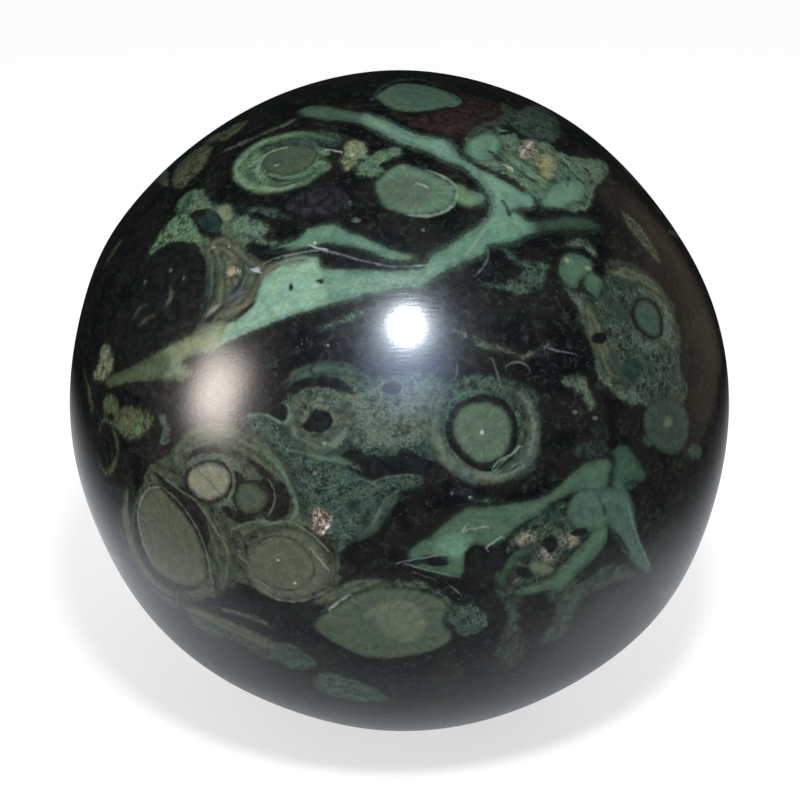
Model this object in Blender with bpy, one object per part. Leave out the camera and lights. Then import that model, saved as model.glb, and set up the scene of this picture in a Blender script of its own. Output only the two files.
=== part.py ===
"""A polished ball of kambaba jasper, modelled as one solid stone.

Units are metres and +Z is up. The ball stands on the plane z = 0 with the origin under its middle.
Its front, the side with the large mint-green band, faces -Y.
"""

import math

import bmesh
import bpy
from mathutils import Vector

# The ball
DIAMETER = 0.060
RADIUS = DIAMETER / 2
FACET_LEVEL = 5  # subdivisions of the icosphere: facets about 4 degrees across

# A level facet under the ball, which it rests on
REST_FACET_RADIUS = 0.0026

# The ball was ground by hand, so its outline is a little out of round. The outline is read in the
# plane that faces a viewer who stands in front and looks down from this far above the horizon.
OUTLINE_ELEVATION = math.radians(25)
OUTLINE_RIGHT = Vector((1, 0, 0))
OUTLINE_UP = Vector((0, math.sin(OUTLINE_ELEVATION), math.cos(OUTLINE_ELEVATION)))

# Each place on the outline, counter-clockwise from its right side: angle in degrees, how far it
# stands out from the true ball in metres, and how wide it is in degrees.
GROUND_PLACES = (
    (38, -0.00056, 18),
    (90, 0.00020, 14),
    (124, -0.00014, 10),
    (152, 0.00038, 11),
    (204, -0.00026, 12),
    (250, -0.00030, 14),
    (321, 0.00056, 16),
)

# Deep green-black with a wet-looking polish
STONE_COLOUR = (0.045, 0.075, 0.055, 1.0)
STONE_ROUGHNESS = 0.18


def clear_scene():
    for thing in list(bpy.data.objects):
        bpy.data.objects.remove(thing, do_unlink=True)


def stone_material():
    material = bpy.data.materials.new("kambaba_stone")
    material.use_nodes = True
    shader = material.node_tree.nodes["Principled BSDF"]
    shader.inputs["Base Color"].default_value = STONE_COLOUR
    shader.inputs["Roughness"].default_value = STONE_ROUGHNESS
    shader.inputs["Metallic"].default_value = 0.0
    return material


def surface_distance(direction):
    """How far the stone's surface is from the middle of the ball in this unit direction."""
    distance = RADIUS
    for place, height, width in GROUND_PLACES:
        turn = math.radians(place)
        middle = OUTLINE_RIGHT * math.cos(turn) + OUTLINE_UP * math.sin(turn)
        away = direction.angle(middle) / math.radians(width)
        distance += height * math.exp(-(away**2))
    return distance


def cut_rest_facet(mesh):
    """Cuts the mesh off at z = 0 and closes it with one level face."""
    work = bmesh.new()
    work.from_mesh(mesh)
    everything = work.verts[:] + work.edges[:] + work.faces[:]
    bmesh.ops.bisect_plane(
        work, geom=everything, dist=1e-6, plane_co=(0, 0, 0), plane_no=(0, 0, 1), clear_inner=True
    )
    rim = [edge for edge in work.edges if edge.is_boundary]
    bmesh.ops.edgeloop_fill(work, edges=rim)
    bmesh.ops.recalc_face_normals(work, faces=work.faces[:])
    work.to_mesh(mesh)
    work.free()


def jasper_ball(collection):
    bpy.ops.mesh.primitive_ico_sphere_add(subdivisions=FACET_LEVEL, radius=RADIUS)
    ball = bpy.context.object
    ball.name = ball.data.name = "jasper_ball"
    facet_depth = RADIUS - math.sqrt(RADIUS**2 - REST_FACET_RADIUS**2)
    middle = Vector((0, 0, RADIUS - facet_depth))
    for vertex in ball.data.vertices:
        direction = vertex.co.normalized()
        vertex.co = middle + direction * surface_distance(direction)
    cut_rest_facet(ball.data)
    ball.data.shade_smooth()
    ball.data.materials.append(stone_material())
    for home in list(ball.users_collection):
        home.objects.unlink(ball)
    collection.objects.link(ball)
    return ball


def main():
    clear_scene()
    collection = bpy.data.collections.new("kambaba_jasper")
    bpy.context.scene.collection.children.link(collection)
    jasper_ball(collection)


main()
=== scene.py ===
"""The looks of a polished ball of kambaba jasper, its stage, its light and its camera.

Lengths are metres unless a name or comment says millimetres or pixels. The stone's pattern is drawn
as smooth outlines and lines. Each is placed by the pixels of an 800 x 800 picture taken from the
camera below, or, on the far side, in millimetres round the point opposite the camera.
"""

import math
import random

import bpy
import numpy as np
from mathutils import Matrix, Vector


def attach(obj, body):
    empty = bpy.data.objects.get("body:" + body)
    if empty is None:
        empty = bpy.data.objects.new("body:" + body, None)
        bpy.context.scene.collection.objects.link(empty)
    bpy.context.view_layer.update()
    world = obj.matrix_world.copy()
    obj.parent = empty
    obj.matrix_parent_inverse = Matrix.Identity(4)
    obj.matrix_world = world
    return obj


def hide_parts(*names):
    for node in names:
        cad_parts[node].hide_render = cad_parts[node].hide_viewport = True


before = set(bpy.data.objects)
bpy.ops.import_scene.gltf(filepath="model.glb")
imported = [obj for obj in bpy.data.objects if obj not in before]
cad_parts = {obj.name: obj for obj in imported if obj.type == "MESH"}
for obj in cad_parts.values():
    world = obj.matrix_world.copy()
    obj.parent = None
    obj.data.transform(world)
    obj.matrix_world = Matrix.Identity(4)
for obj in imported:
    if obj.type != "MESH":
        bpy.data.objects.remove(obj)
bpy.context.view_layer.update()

# The ball, as the CAD model has it
RADIUS = 0.030
REST_FACET_RADIUS = 0.0026
MIDDLE = Vector((0, 0, math.sqrt(RADIUS**2 - REST_FACET_RADIUS**2)))

# The camera, and the ball's place in its picture
VIEW_ELEVATION = math.radians(25)
VIEW_DISTANCE = 0.300
RIGHT = Vector((1, 0, 0))
UP = Vector((0, math.sin(VIEW_ELEVATION), math.cos(VIEW_ELEVATION)))
TOWARDS = Vector((0, -math.cos(VIEW_ELEVATION), math.sin(VIEW_ELEVATION)))
PICTURE_PIXELS = 800
BALL_MIDDLE_PIXEL = (399.4, 401.7)
PIXELS_PER_TANGENT = 3281  # of the angle away from the middle of the view
SENSOR_MM = 36
PIXELS_PER_MM = 10.935  # at the ball's middle
RIM_PIXELS = 329.7  # from the ball's middle to its outline
BEYOND_RIM_PER_PIXEL = math.radians(0.8)  # how far round the far side a pixel past the outline is

# The stage and its light
FLOOR_SIZE = 6
FLOOR_DROP = 0.0002  # how far the floor lies below the ball's foot
FLOOR_COLOUR = (0.5, 0.5, 0.5, 1)
FLOOR_GLOW = 0.62
FLASH_TURN = (2.6, 24.0)  # degrees right and up from the camera, seen from the ball
FLASH_DISTANCE = 0.30
FLASH_SIZE = 0.040
FLASH_POWER = 0.72
FLASH_COLOUR = (0.94, 0.97, 1.0)
# The room's colour and strength, first as light and then as the polish mirrors it
ROOM_LIGHTS = (((1, 1, 1, 1), 0.55), ((0.9, 0.95, 1, 1), 0.010))

# The part of the floor that the polish mirrors
MIRRORED_COLOUR = (236, 240, 245)
MIRRORED_SIZE = (0.19, 0.17)
MIRRORED_EDGE = 0.5
# Its strength from the ball's foot outwards: near and far distance, strength nearer and further
SHADE_UNDER_BALL = (0.020, 0.045, 0.33, 0.75)
# What that is multiplied by along y, and along x at the right and at the left
SHADE_IN_FRONT = (-0.040, -0.014, 0.2, 1.0)
SHADE_AT_RIGHT = (0.015, 0.072, 1.0, 0.16)
SHADE_AT_LEFT = (-0.080, -0.024, 0.35, 1.0)

# What else the polish mirrors: turn from the camera in degrees, distance, size, colour, strength,
# and the part of its half size over which it fades
MIRRORED_LIGHTS = (
    ("window", (-62.6, 3), 0.5, (0.245, 0.30), (255, 238, 226), 15.5, 0.85),
    ("flash_halo", (2.5, 12), 0.5, (0.34, 0.42), (196, 216, 255), 4.8, 1.0),
    ("warm_wall", (125, 12), 0.8, (0.9, 1.1), (150, 136, 118), 0.35, 0.6),
)

# Places on the outline where the ball is out of round: angle in degrees counter-clockwise from the
# right side, how far it stands out in metres, and how wide the place is in degrees
GROUND_PLACES = (
    (38, -0.00056, 18),
    (90, 0.00020, 14),
    (124, -0.00014, 10),
    (152, 0.00038, 11),
    (204, -0.00026, 12),
    (250, -0.00030, 14),
    (321, 0.00056, 16),
)

# The ball's mesh is a cube blown up to a ball, with its cells drawn in towards the camera's side
CELLS_PER_EDGE = 126
DRAWN_IN = 0.35
TEXTURE_MARGIN = 0.003  # bare strip round each cube face in the texture map
# The cube's faces in the viewer's axes (right, up, towards): out of the face, its right, its up
CUBE_FACES = (
    ((0, 0, 1), (1, 0, 0), (0, 1, 0)),
    ((0, 0, -1), (-1, 0, 0), (0, 1, 0)),
    ((1, 0, 0), (0, 0, -1), (0, 1, 0)),
    ((-1, 0, 0), (0, 0, 1), (0, 1, 0)),
    ((0, 1, 0), (1, 0, 0), (0, 0, -1)),
    ((0, -1, 0), (1, 0, 0), (0, 0, 1)),
)

# The drawing's layers, from the lowest up, and how shapes and lines are laid into it
LAYERS = ("veil", "moss", "olive", "banded", "mint", "black", "orb")
RADIUS_MM = 1000 * RADIUS
FAR_MM = -3.0  # distance of a place that no shape is near; inside a shape distances are positive
CURVE_STEPS = 5  # straight pieces between two points of an outline
OVAL_POINTS = 12
OVAL_UNEVEN = (0.05, 0.04)  # how far out of round an oval is, in two and in three waves round it
TINT_EDGE_MM = (-0.6, 0.2)  # from where to where over its edge a shape's colour sets in
STROKE_TAPER = 0.3  # the part of a stroke over which each end thins out
LINE_TAPER = 0.15
LINE_SETS = 3
LINE_REACH_MM = 0.6  # how far from a line the mesh knows its distance; further out it has no width
NO_LINE_MM = -1.0
ORB_REACH = 1.6  # how far an orb's fibres are laid out, in its radii

# The small crystal-lined pit, and how deep the scratches in the polish are
PIT_PIXEL = (321, 520)
PIT_SIZE_MM = 1.35
PIT_STRETCH = (1.25, 0.9)  # across and along: more is narrower
PIT_SLOPE = 0.55
PIT_UNEVEN = (0.12, 0.08)  # how far out of round its edge is, in three and in seven waves round it
PIT_DEPTH = 0.00045
CRYSTAL_HEIGHT = 0.55  # as a part of the pit's depth
CRYSTAL_WAVES = (7, 8)  # in radians per millimetre, across and along
SCRATCH_DEPTH = 0.000006
SCRATCH_SCALES = (0.6, 5.5, 5.5)  # features per millimetre along x, y and z

# The stone's colours, as the picture shows them under its light, from 0 to 255
NEAR_BLACK = (22, 24, 24)
WARM_BLACK = (32, 30, 28)
DEEP_GREEN = (40, 52, 46)
DARK_MOSS = (50, 63, 55)
MOSS = (54, 72, 64)
GREY_MOSS = (76, 89, 79)
BRIGHT_MOSS = (82, 107, 90)
MINT = (122, 156, 136)
COOL_MINT = (90, 124, 106)
SOFT_MINT = (88, 122, 104)
BAND_MINT = (98, 131, 114)
DIM_MINT = (68, 92, 79)
TAIL_GREEN = (48, 66, 57)
BAND_GREEN = (66, 91, 74)
BAND_TEAL = (50, 76, 61)
BLUE_MINT = (84, 110, 102)
BLUE_BAND = (64, 88, 78)
DARK_TEAL = (32, 50, 45)
TAN = (116, 112, 94)
DEEP_MINT = (56, 84, 68)
LEAF = (90, 118, 92)
RIM_OLIVE = (78, 86, 62)
BROWN_FIELD = (44, 36, 32)
OLIVE = (76, 88, 66)
OLIVE_GREY = (66, 75, 62)
MOTTLED_GREY = (74, 82, 70)
PALE_OLIVE = (112, 124, 98)
YELLOW_OLIVE = (128, 134, 102)
ORB_GREEN = (66, 80, 66)
ORB_GREY = (86, 97, 80)
LOW_ORB = (94, 108, 87)
ORB_OLIVE = (78, 85, 70)
ORB_SAGE = (76, 94, 79)
PALE_ORB = (120, 121, 107)
PALE_GREEN = (110, 130, 113)
PALE_GREY = (132, 138, 130)
LILAC_WHITE = (158, 160, 164)
PINK_WHITE = (166, 160, 154)
BROWN = (54, 48, 41)
LILAC_DARK = (38, 39, 44)
MOSSY_GREY = (84, 90, 78)
MOSSY_DARK = (64, 69, 60)
ORANGE = (160, 142, 112)
LILAC_GREY = (92, 98, 104)
VEIN_GREEN = (104, 124, 108)
WISP_GREEN = (40, 54, 48)
GROUND_BLACK = (9, 10, 12)
GROUND_BROWN = (24, 22, 20)
GHOST_GREEN = (29, 35, 33)
FLECK_GREY = (38, 40, 43)
RUST_BROWN = (86, 60, 42)

# Closed shapes of the side that the camera sees: layer, colour and outline, in pixels
SHAPES = {
    "large band": ("mint", MINT, (
        (200, 345), (210, 335), (225, 325), (240, 318), (250, 308), (256, 298), (262, 280), (268, 270),
        (275, 264), (290, 258), (305, 256), (318, 258), (322, 268), (345, 270), (370, 271), (400, 271),
        (425, 268), (432, 255), (445, 249), (455, 242), (465, 235), (478, 228), (488, 222), (500, 214),
        (515, 212), (527, 222), (545, 220), (570, 217), (590, 220), (600, 225), (600, 229), (575, 229),
        (550, 230), (530, 233), (515, 240), (500, 243), (487, 245), (480, 255), (465, 260), (455, 266),
        (440, 272), (430, 280), (420, 286), (400, 288), (375, 292), (350, 298), (325, 305), (300, 312),
        (280, 318), (265, 325), (245, 333), (228, 341), (215, 349))),
    "large band's pointed end": ("mint", PALE_OLIVE, (
        (225, 322), (205, 327), (190, 336), (175, 343), (160, 352), (145, 360), (130, 371), (112, 379),
        (110, 384), (130, 379), (150, 378), (170, 378), (188, 371), (182, 362), (195, 354), (215, 350))),
    "faint end of the large band": ("mint", OLIVE, (
        (166, 356), (150, 358), (135, 366), (108, 378), (108, 386), (130, 382), (150, 380), (166, 372))),
    "upper band": ("mint", DIM_MINT, (
        (298, 111), (310, 106), (325, 106), (345, 110), (365, 114), (385, 120), (400, 128), (415, 134),
        (432, 138), (445, 140), (453, 146), (460, 157), (470, 163), (480, 170), (490, 172), (500, 178),
        (512, 186), (522, 192), (530, 195), (534, 201), (529, 207), (518, 206), (508, 214), (498, 222),
        (488, 222), (492, 212), (490, 197), (482, 185), (470, 172), (460, 165), (450, 162), (440, 158),
        (430, 152), (415, 147), (395, 140), (380, 132), (365, 125), (345, 121), (325, 120), (305, 116))),
    "join of the bands": ("mint", SOFT_MINT, (
        (500, 210), (508, 212), (500, 222), (491, 232), (482, 243), (472, 253), (462, 258), (452, 250),
        (464, 240), (478, 230), (488, 220))),
    "eyebrow band": ("mint", COOL_MINT, (
        (272, 250), (285, 244), (300, 238), (308, 229), (320, 226), (332, 224), (345, 230), (358, 236),
        (372, 241), (385, 247), (400, 253), (412, 258), (400, 259), (385, 257), (370, 250), (355, 247),
        (340, 244), (325, 243), (310, 246), (290, 250))),
    "right upper patch": ("moss", BRIGHT_MOSS, (
        (465, 146), (468, 138), (480, 132), (493, 128), (505, 130), (515, 133), (520, 140), (530, 138),
        (545, 142), (558, 150), (570, 156), (590, 158), (606, 162), (608, 172), (600, 182), (593, 192),
        (590, 205), (575, 212), (560, 207), (545, 201), (530, 196), (520, 186), (512, 178), (500, 173),
        (485, 166), (475, 161), (467, 153))),
    "right upper rim patch": ("moss", MOSS, (
        (508, 118), (522, 109), (537, 104), (552, 112), (560, 126), (556, 140), (544, 140), (525, 136))),
    "brown field's green edge": ("moss", DARK_MOSS, (
        (500, 103), (512, 106), (520, 114), (512, 121), (495, 127), (480, 132), (466, 138), (470, 130),
        (488, 122), (502, 115))),
    "small band by the right orb": ("mint", LEAF, (
        (452, 186), (462, 185), (468, 190), (478, 193), (484, 198), (478, 205), (466, 206), (456, 201))),
    "left orb's skin": ("moss", LEAF, (
        (235, 172), (238, 160), (250, 150), (268, 143), (285, 136), (303, 132), (322, 131), (336, 134),
        (346, 139), (338, 145), (326, 146), (330, 152), (320, 158), (330, 163), (328, 170), (312, 178),
        (296, 185), (280, 190), (262, 191), (248, 186), (238, 180))),
    "pale blob": ("moss", PALE_OLIVE, (
        (342, 143), (352, 140), (362, 142), (368, 150), (366, 158), (358, 161), (352, 168), (344, 168),
        (340, 160), (345, 152))),
    "blob between the orbs": ("moss", BRIGHT_MOSS, (
        (355, 168), (362, 160), (372, 155), (385, 150), (398, 148), (402, 152), (395, 158), (385, 161),
        (380, 166), (386, 172), (374, 176), (360, 176))),
    "right orb": ("orb", BRIGHT_MOSS, (
        (375, 183), (380, 178), (388, 170), (398, 165), (405, 164), (418, 168), (432, 173), (443, 178),
        (450, 183), (456, 187), (456, 195), (454, 202), (447, 209), (435, 213), (420, 216), (405, 214),
        (392, 210), (382, 203), (377, 195))),
    "top orb": ("orb", DIM_MINT, (
        (377, 98), (384, 90), (398, 84), (415, 84), (435, 88), (450, 94), (460, 101), (455, 106),
        (440, 108), (425, 111), (405, 112), (390, 108))),
    "brown field": ("veil", BROWN_FIELD, (
        (392, 113), (415, 116), (440, 111), (464, 104), (462, 96), (490, 100), (508, 110), (508, 125),
        (490, 133), (465, 137), (440, 134), (415, 126))),
    "upper left rim patch": ("olive", OLIVE, (
        (172, 180), (180, 162), (195, 150), (207, 143), (211, 150), (205, 165), (192, 178), (180, 188))),
    "upper left rim streak": ("olive", OLIVE, (
        (205, 140), (225, 130), (240, 122), (247, 122), (240, 130), (222, 141))),
    "middle moss, upper": ("moss", MOSS, (
        (240, 420), (250, 415), (265, 415), (277, 421), (283, 424), (288, 414), (285, 400), (288, 388),
        (296, 378), (307, 371), (318, 366), (332, 364), (346, 365), (360, 371), (372, 378), (385, 376),
        (398, 374), (415, 372), (432, 374), (446, 380), (460, 377), (480, 375), (500, 378), (520, 383),
        (533, 392), (539, 405), (539, 422), (537, 440), (539, 455), (535, 466), (525, 476), (505, 481),
        (485, 483), (468, 479), (455, 470), (440, 462), (420, 456), (410, 450), (395, 455), (380, 456),
        (368, 455), (350, 448), (342, 455), (350, 466), (360, 472), (368, 480), (380, 478), (400, 476),
        (420, 476), (420, 485), (400, 490), (386, 499), (380, 510), (375, 520), (368, 530), (352, 540),
        (345, 550), (335, 557), (328, 546), (316, 536), (300, 522), (296, 506), (286, 484), (272, 465),
        (256, 450), (246, 436))),
    "right moss": ("moss", DARK_MOSS, (
        (605, 268), (608, 262), (620, 260), (635, 265), (648, 275), (660, 287), (670, 300), (676, 315),
        (679, 330), (681, 345), (679, 360), (683, 375), (688, 392), (680, 408), (660, 410), (645, 404),
        (632, 398), (618, 390), (604, 374), (596, 354), (590, 336), (583, 324), (578, 313), (576, 300),
        (584, 292), (594, 296), (602, 290))),
    "faint patch by the glare": ("moss", MOSS, (
        (486, 284), (500, 285), (509, 281), (517, 279), (523, 273), (531, 266), (541, 262), (549, 265),
        (546, 275), (543, 285), (531, 290), (520, 296), (511, 291), (499, 288))),
    "crumb patch": ("moss", GREY_MOSS, (
        (563, 380), (575, 377), (586, 379), (590, 389), (594, 404), (590, 409), (584, 397), (577, 393),
        (572, 387))),
    "bottom orb": ("orb", ORB_GREEN, (
        (330, 610), (338, 604), (350, 597), (365, 591), (380, 587), (395, 587), (415, 589), (432, 594),
        (444, 601), (450, 608), (444, 614), (443, 622), (452, 634), (448, 642), (438, 648), (420, 654),
        (400, 657), (380, 658), (360, 655), (345, 648), (330, 640), (318, 631), (313, 624), (322, 616))),
    "middle low orb": ("orb", LOW_ORB, (
        (247, 560), (250, 550), (258, 542), (270, 537), (282, 537), (293, 541), (303, 550), (311, 561),
        (316, 570), (310, 577), (300, 585), (288, 588), (273, 586), (262, 580), (253, 572))),
    "large left orb": ("orb", ORB_OLIVE, (
        (138, 516), (142, 500), (150, 490), (160, 488), (172, 500), (185, 515), (197, 535), (205, 558),
        (207, 575), (200, 584), (188, 586), (170, 580), (155, 569), (145, 550))),
    "lower left streak": ("moss", DARK_MOSS, (
        (190, 606), (214, 620), (236, 628), (252, 638), (270, 650), (280, 658), (268, 660), (250, 650),
        (232, 640), (212, 636), (192, 622))),
    "blob under the orbs": ("moss", MOSS, (
        (268, 645), (285, 642), (300, 649), (312, 658), (317, 665), (302, 669), (290, 668), (278, 658))),
    "lowest patch": ("moss", MOSS, (
        (314, 684), (322, 673), (340, 675), (360, 682), (378, 690), (387, 698), (372, 702), (345, 699),
        (325, 694))),
    "wedge between the moss lobes": ("black", NEAR_BLACK, (
        (341, 458), (352, 450), (368, 456), (395, 456), (410, 452), (424, 458), (442, 466), (452, 476),
        (436, 474), (410, 472), (384, 474), (366, 477), (350, 470))),
    "dark field inside the left bands": ("black", WARM_BLACK, (
        (262, 478), (280, 482), (291, 500), (286, 515), (270, 521), (261, 512), (270, 498))),
    "lens under the eyebrow": ("black", NEAR_BLACK, (
        (343, 248), (358, 250), (372, 254), (385, 261), (372, 260), (356, 254))),
    "lens in the large band": ("black", NEAR_BLACK, (
        (320, 254), (328, 251), (345, 257), (368, 262), (392, 266), (412, 268), (392, 270), (362, 268),
        (340, 268), (326, 264))),
    "lower right band": ("mint", BAND_GREEN, (
        (408, 557), (413, 548), (421, 542), (430, 537), (438, 530), (447, 522), (456, 516), (464, 510),
        (473, 507), (486, 507), (500, 506), (515, 503), (530, 501), (545, 496), (558, 487), (570, 476),
        (579, 468), (590, 462), (603, 459), (611, 462), (609, 474), (606, 488), (596, 492), (582, 491),
        (570, 494), (558, 499), (549, 505), (540, 514), (528, 520), (517, 527), (508, 536), (498, 543),
        (486, 546), (474, 543), (468, 546), (468, 556), (464, 568), (459, 577), (446, 574), (430, 570),
        (416, 566), (430, 563), (444, 564), (448, 558), (440, 555), (424, 559))),
    "lower right band's right lobe": ("mint", BAND_TEAL, (
        (612, 452), (619, 446), (627, 446), (633, 454), (640, 464), (646, 476), (640, 481), (632, 480),
        (627, 486), (623, 496), (616, 492), (612, 483), (613, 470), (615, 461))),
    "bluish patch of the arm": ("mint", BLUE_BAND, (
        (568, 514), (571, 500), (580, 491), (592, 487), (604, 489), (616, 486), (628, 492), (634, 508),
        (636, 524), (640, 542), (647, 556), (651, 572), (640, 568), (628, 556), (620, 544), (612, 530),
        (607, 524), (600, 530), (588, 532), (576, 528))),
    "second branch of the arm": ("mint", BAND_GREEN, (
        (596, 526), (606, 524), (607, 538), (600, 552), (590, 562), (578, 572), (569, 583), (560, 591),
        (545, 590), (528, 594), (514, 592), (528, 586), (542, 582), (554, 574), (564, 563), (574, 552),
        (584, 542), (591, 533))),
    "dim greens under the arm": ("veil", DARK_MOSS, (
        (496, 588), (512, 584), (524, 592), (520, 610), (520, 630), (524, 650), (516, 664), (502, 664),
        (500, 646), (506, 626), (506, 606))),
    "dim greens right of them": ("veil", DARK_MOSS, (
        (546, 592), (562, 584), (580, 578), (600, 566), (622, 564), (636, 574), (612, 584), (590, 592),
        (578, 606), (570, 626), (556, 640), (540, 642), (552, 624), (556, 606))),
    "mottled field by the arm": ("olive", DARK_MOSS, (
        (508, 540), (520, 528), (534, 520), (546, 510), (558, 502), (572, 502), (570, 516), (580, 528),
        (590, 532), (584, 542), (572, 554), (560, 568), (548, 578), (532, 584), (516, 586), (508, 578),
        (514, 560), (520, 550), (506, 552))),
    "blob right of the bottom orb": ("moss", MOSS, (
        (446, 613), (454, 607), (466, 604), (478, 608), (488, 617), (486, 625), (478, 632), (466, 635),
        (456, 630), (448, 622))),
    "left lower bands": ("moss", OLIVE_GREY, (
        (195, 440), (212, 434), (230, 432), (246, 438), (262, 450), (278, 462), (292, 478), (300, 496),
        (300, 515), (316, 530), (330, 548), (341, 566), (341, 580), (330, 588), (315, 596), (295, 600),
        (275, 598), (258, 590), (240, 584), (226, 590), (207, 598), (190, 600), (170, 592), (152, 572),
        (138, 548), (130, 520), (134, 500), (143, 484), (150, 466), (163, 456), (180, 446))),
    "crescent round the small eye": ("black", NEAR_BLACK, (
        (283, 392), (292, 384), (306, 378), (325, 376), (342, 380), (352, 388), (356, 396), (344, 392),
        (328, 387), (310, 387), (294, 393))),
    "left lobe by the right moss": ("mint", BAND_GREEN, (
        (562, 258), (570, 253), (580, 255), (590, 260), (592, 268), (587, 273), (580, 281), (575, 288),
        (567, 287), (562, 279), (559, 270))),
    "right lobe by the right moss": ("mint", BAND_GREEN, (
        (585, 277), (592, 273), (600, 278), (603, 288), (598, 297), (591, 293), (584, 286))),
    "upper left green patch": ("moss", BRIGHT_MOSS, (
        (177, 206), (183, 196), (192, 190), (202, 190), (208, 198), (216, 205), (226, 208), (236, 214),
        (250, 216), (262, 222), (268, 230), (258, 238), (248, 240), (246, 250), (240, 256), (232, 246),
        (226, 236), (214, 230), (204, 226), (196, 216), (186, 212), (180, 218))),
    "yellow-green patch at the left": ("olive", LEAF, (
        (150, 254), (156, 240), (164, 228), (174, 218), (184, 214), (192, 220), (198, 232), (208, 238),
        (214, 246), (206, 254), (196, 246), (184, 240), (170, 242), (160, 248))),
    "mottled zone by the dark orb": ("banded", MOTTLED_GREY, (
        (204, 252), (212, 240), (226, 236), (240, 244), (250, 254), (264, 262), (276, 264), (266, 278),
        (258, 296), (244, 314), (226, 326), (206, 336), (194, 338), (200, 322), (208, 304), (210, 284),
        (208, 266))),
    "strip under the pointed end": ("olive", PALE_OLIVE, (
        (136, 368), (152, 363), (170, 362), (188, 366), (192, 374), (182, 380), (160, 379), (142, 377))),
    "first blob at the left rim": ("olive", PALE_OLIVE, (
        (98, 366), (101, 350), (106, 345), (112, 352), (112, 370), (106, 378), (98, 382), (93, 374))),
    "second blob at the left rim": ("olive", OLIVE, (
        (103, 408), (104, 398), (111, 394), (118, 402), (117, 412), (108, 414))),
    "left rim olive patch": ("olive", RIM_OLIVE, (
        (113, 424), (118, 413), (128, 407), (142, 409), (152, 416), (148, 429), (138, 439), (126, 438))),
    "dark orb at the left": ("black", NEAR_BLACK, (
        (147, 268), (154, 254), (168, 245), (183, 243), (196, 251), (203, 264), (201, 280), (196, 297),
        (190, 314), (180, 330), (165, 345), (148, 355), (132, 364), (120, 362), (116, 345), (122, 322),
        (132, 298))),
    "dark between the left bands": ("black", DARK_TEAL, (
        (196, 211), (206, 208), (216, 212), (222, 222), (216, 232), (206, 230), (198, 222))),
}

# Parts of those shapes that have a colour of their own, laid over them: layer, colour and outline
TINTED = {
    "large band, right part": ("mint", SOFT_MINT, (
        (418, 262), (432, 252), (455, 238), (480, 224), (505, 210), (530, 215), (560, 212), (605, 218),
        (605, 236), (560, 236), (520, 246), (480, 262), (450, 276), (425, 290), (412, 280))),
    "large band's far tail": ("mint", TAIL_GREEN, (
        (538, 215), (560, 212), (605, 218), (605, 236), (560, 236), (540, 238))),
    "upper band, bright part": ("mint", BAND_MINT, (
        (368, 110), (400, 118), (440, 132), (470, 150), (500, 170), (540, 190), (538, 212), (500, 226),
        (484, 222), (480, 190), (460, 172), (430, 158), (395, 146), (368, 130))),
    "light part of the lower right band": ("mint", SOFT_MINT, (
        (438, 545), (452, 536), (468, 540), (466, 552), (450, 556), (438, 552))),
    "light part of the bottom orb": ("orb", ORB_GREY, (
        (378, 608), (400, 602), (418, 612), (422, 630), (404, 640), (384, 630))),
    "green part of the left orb's skin": ("moss", MOSS, (
        (262, 140), (300, 132), (340, 136), (340, 148), (300, 146), (264, 152))),
    "dark part of the middle moss": ("moss", DARK_MOSS, (
        (505, 380), (530, 390), (540, 420), (538, 462), (524, 476), (522, 440), (520, 405))),
    "second dark part of the middle moss": ("moss", DARK_MOSS, (
        (262, 456), (290, 462), (310, 474), (318, 500), (300, 510), (284, 482))),
    "bright part of the middle moss": ("moss", GREY_MOSS, (
        (352, 392), (400, 384), (436, 392), (430, 430), (396, 446), (356, 438), (344, 414))),
    "grey edge of the middle low orb": ("orb", ORB_OLIVE, (
        (316, 556), (330, 566), (336, 582), (318, 592), (296, 600), (280, 596), (304, 588), (316, 572))),
    "middle of the large band": ("mint", BAND_MINT, (
        (330, 262), (430, 258), (430, 294), (380, 294), (335, 304))),
}

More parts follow.
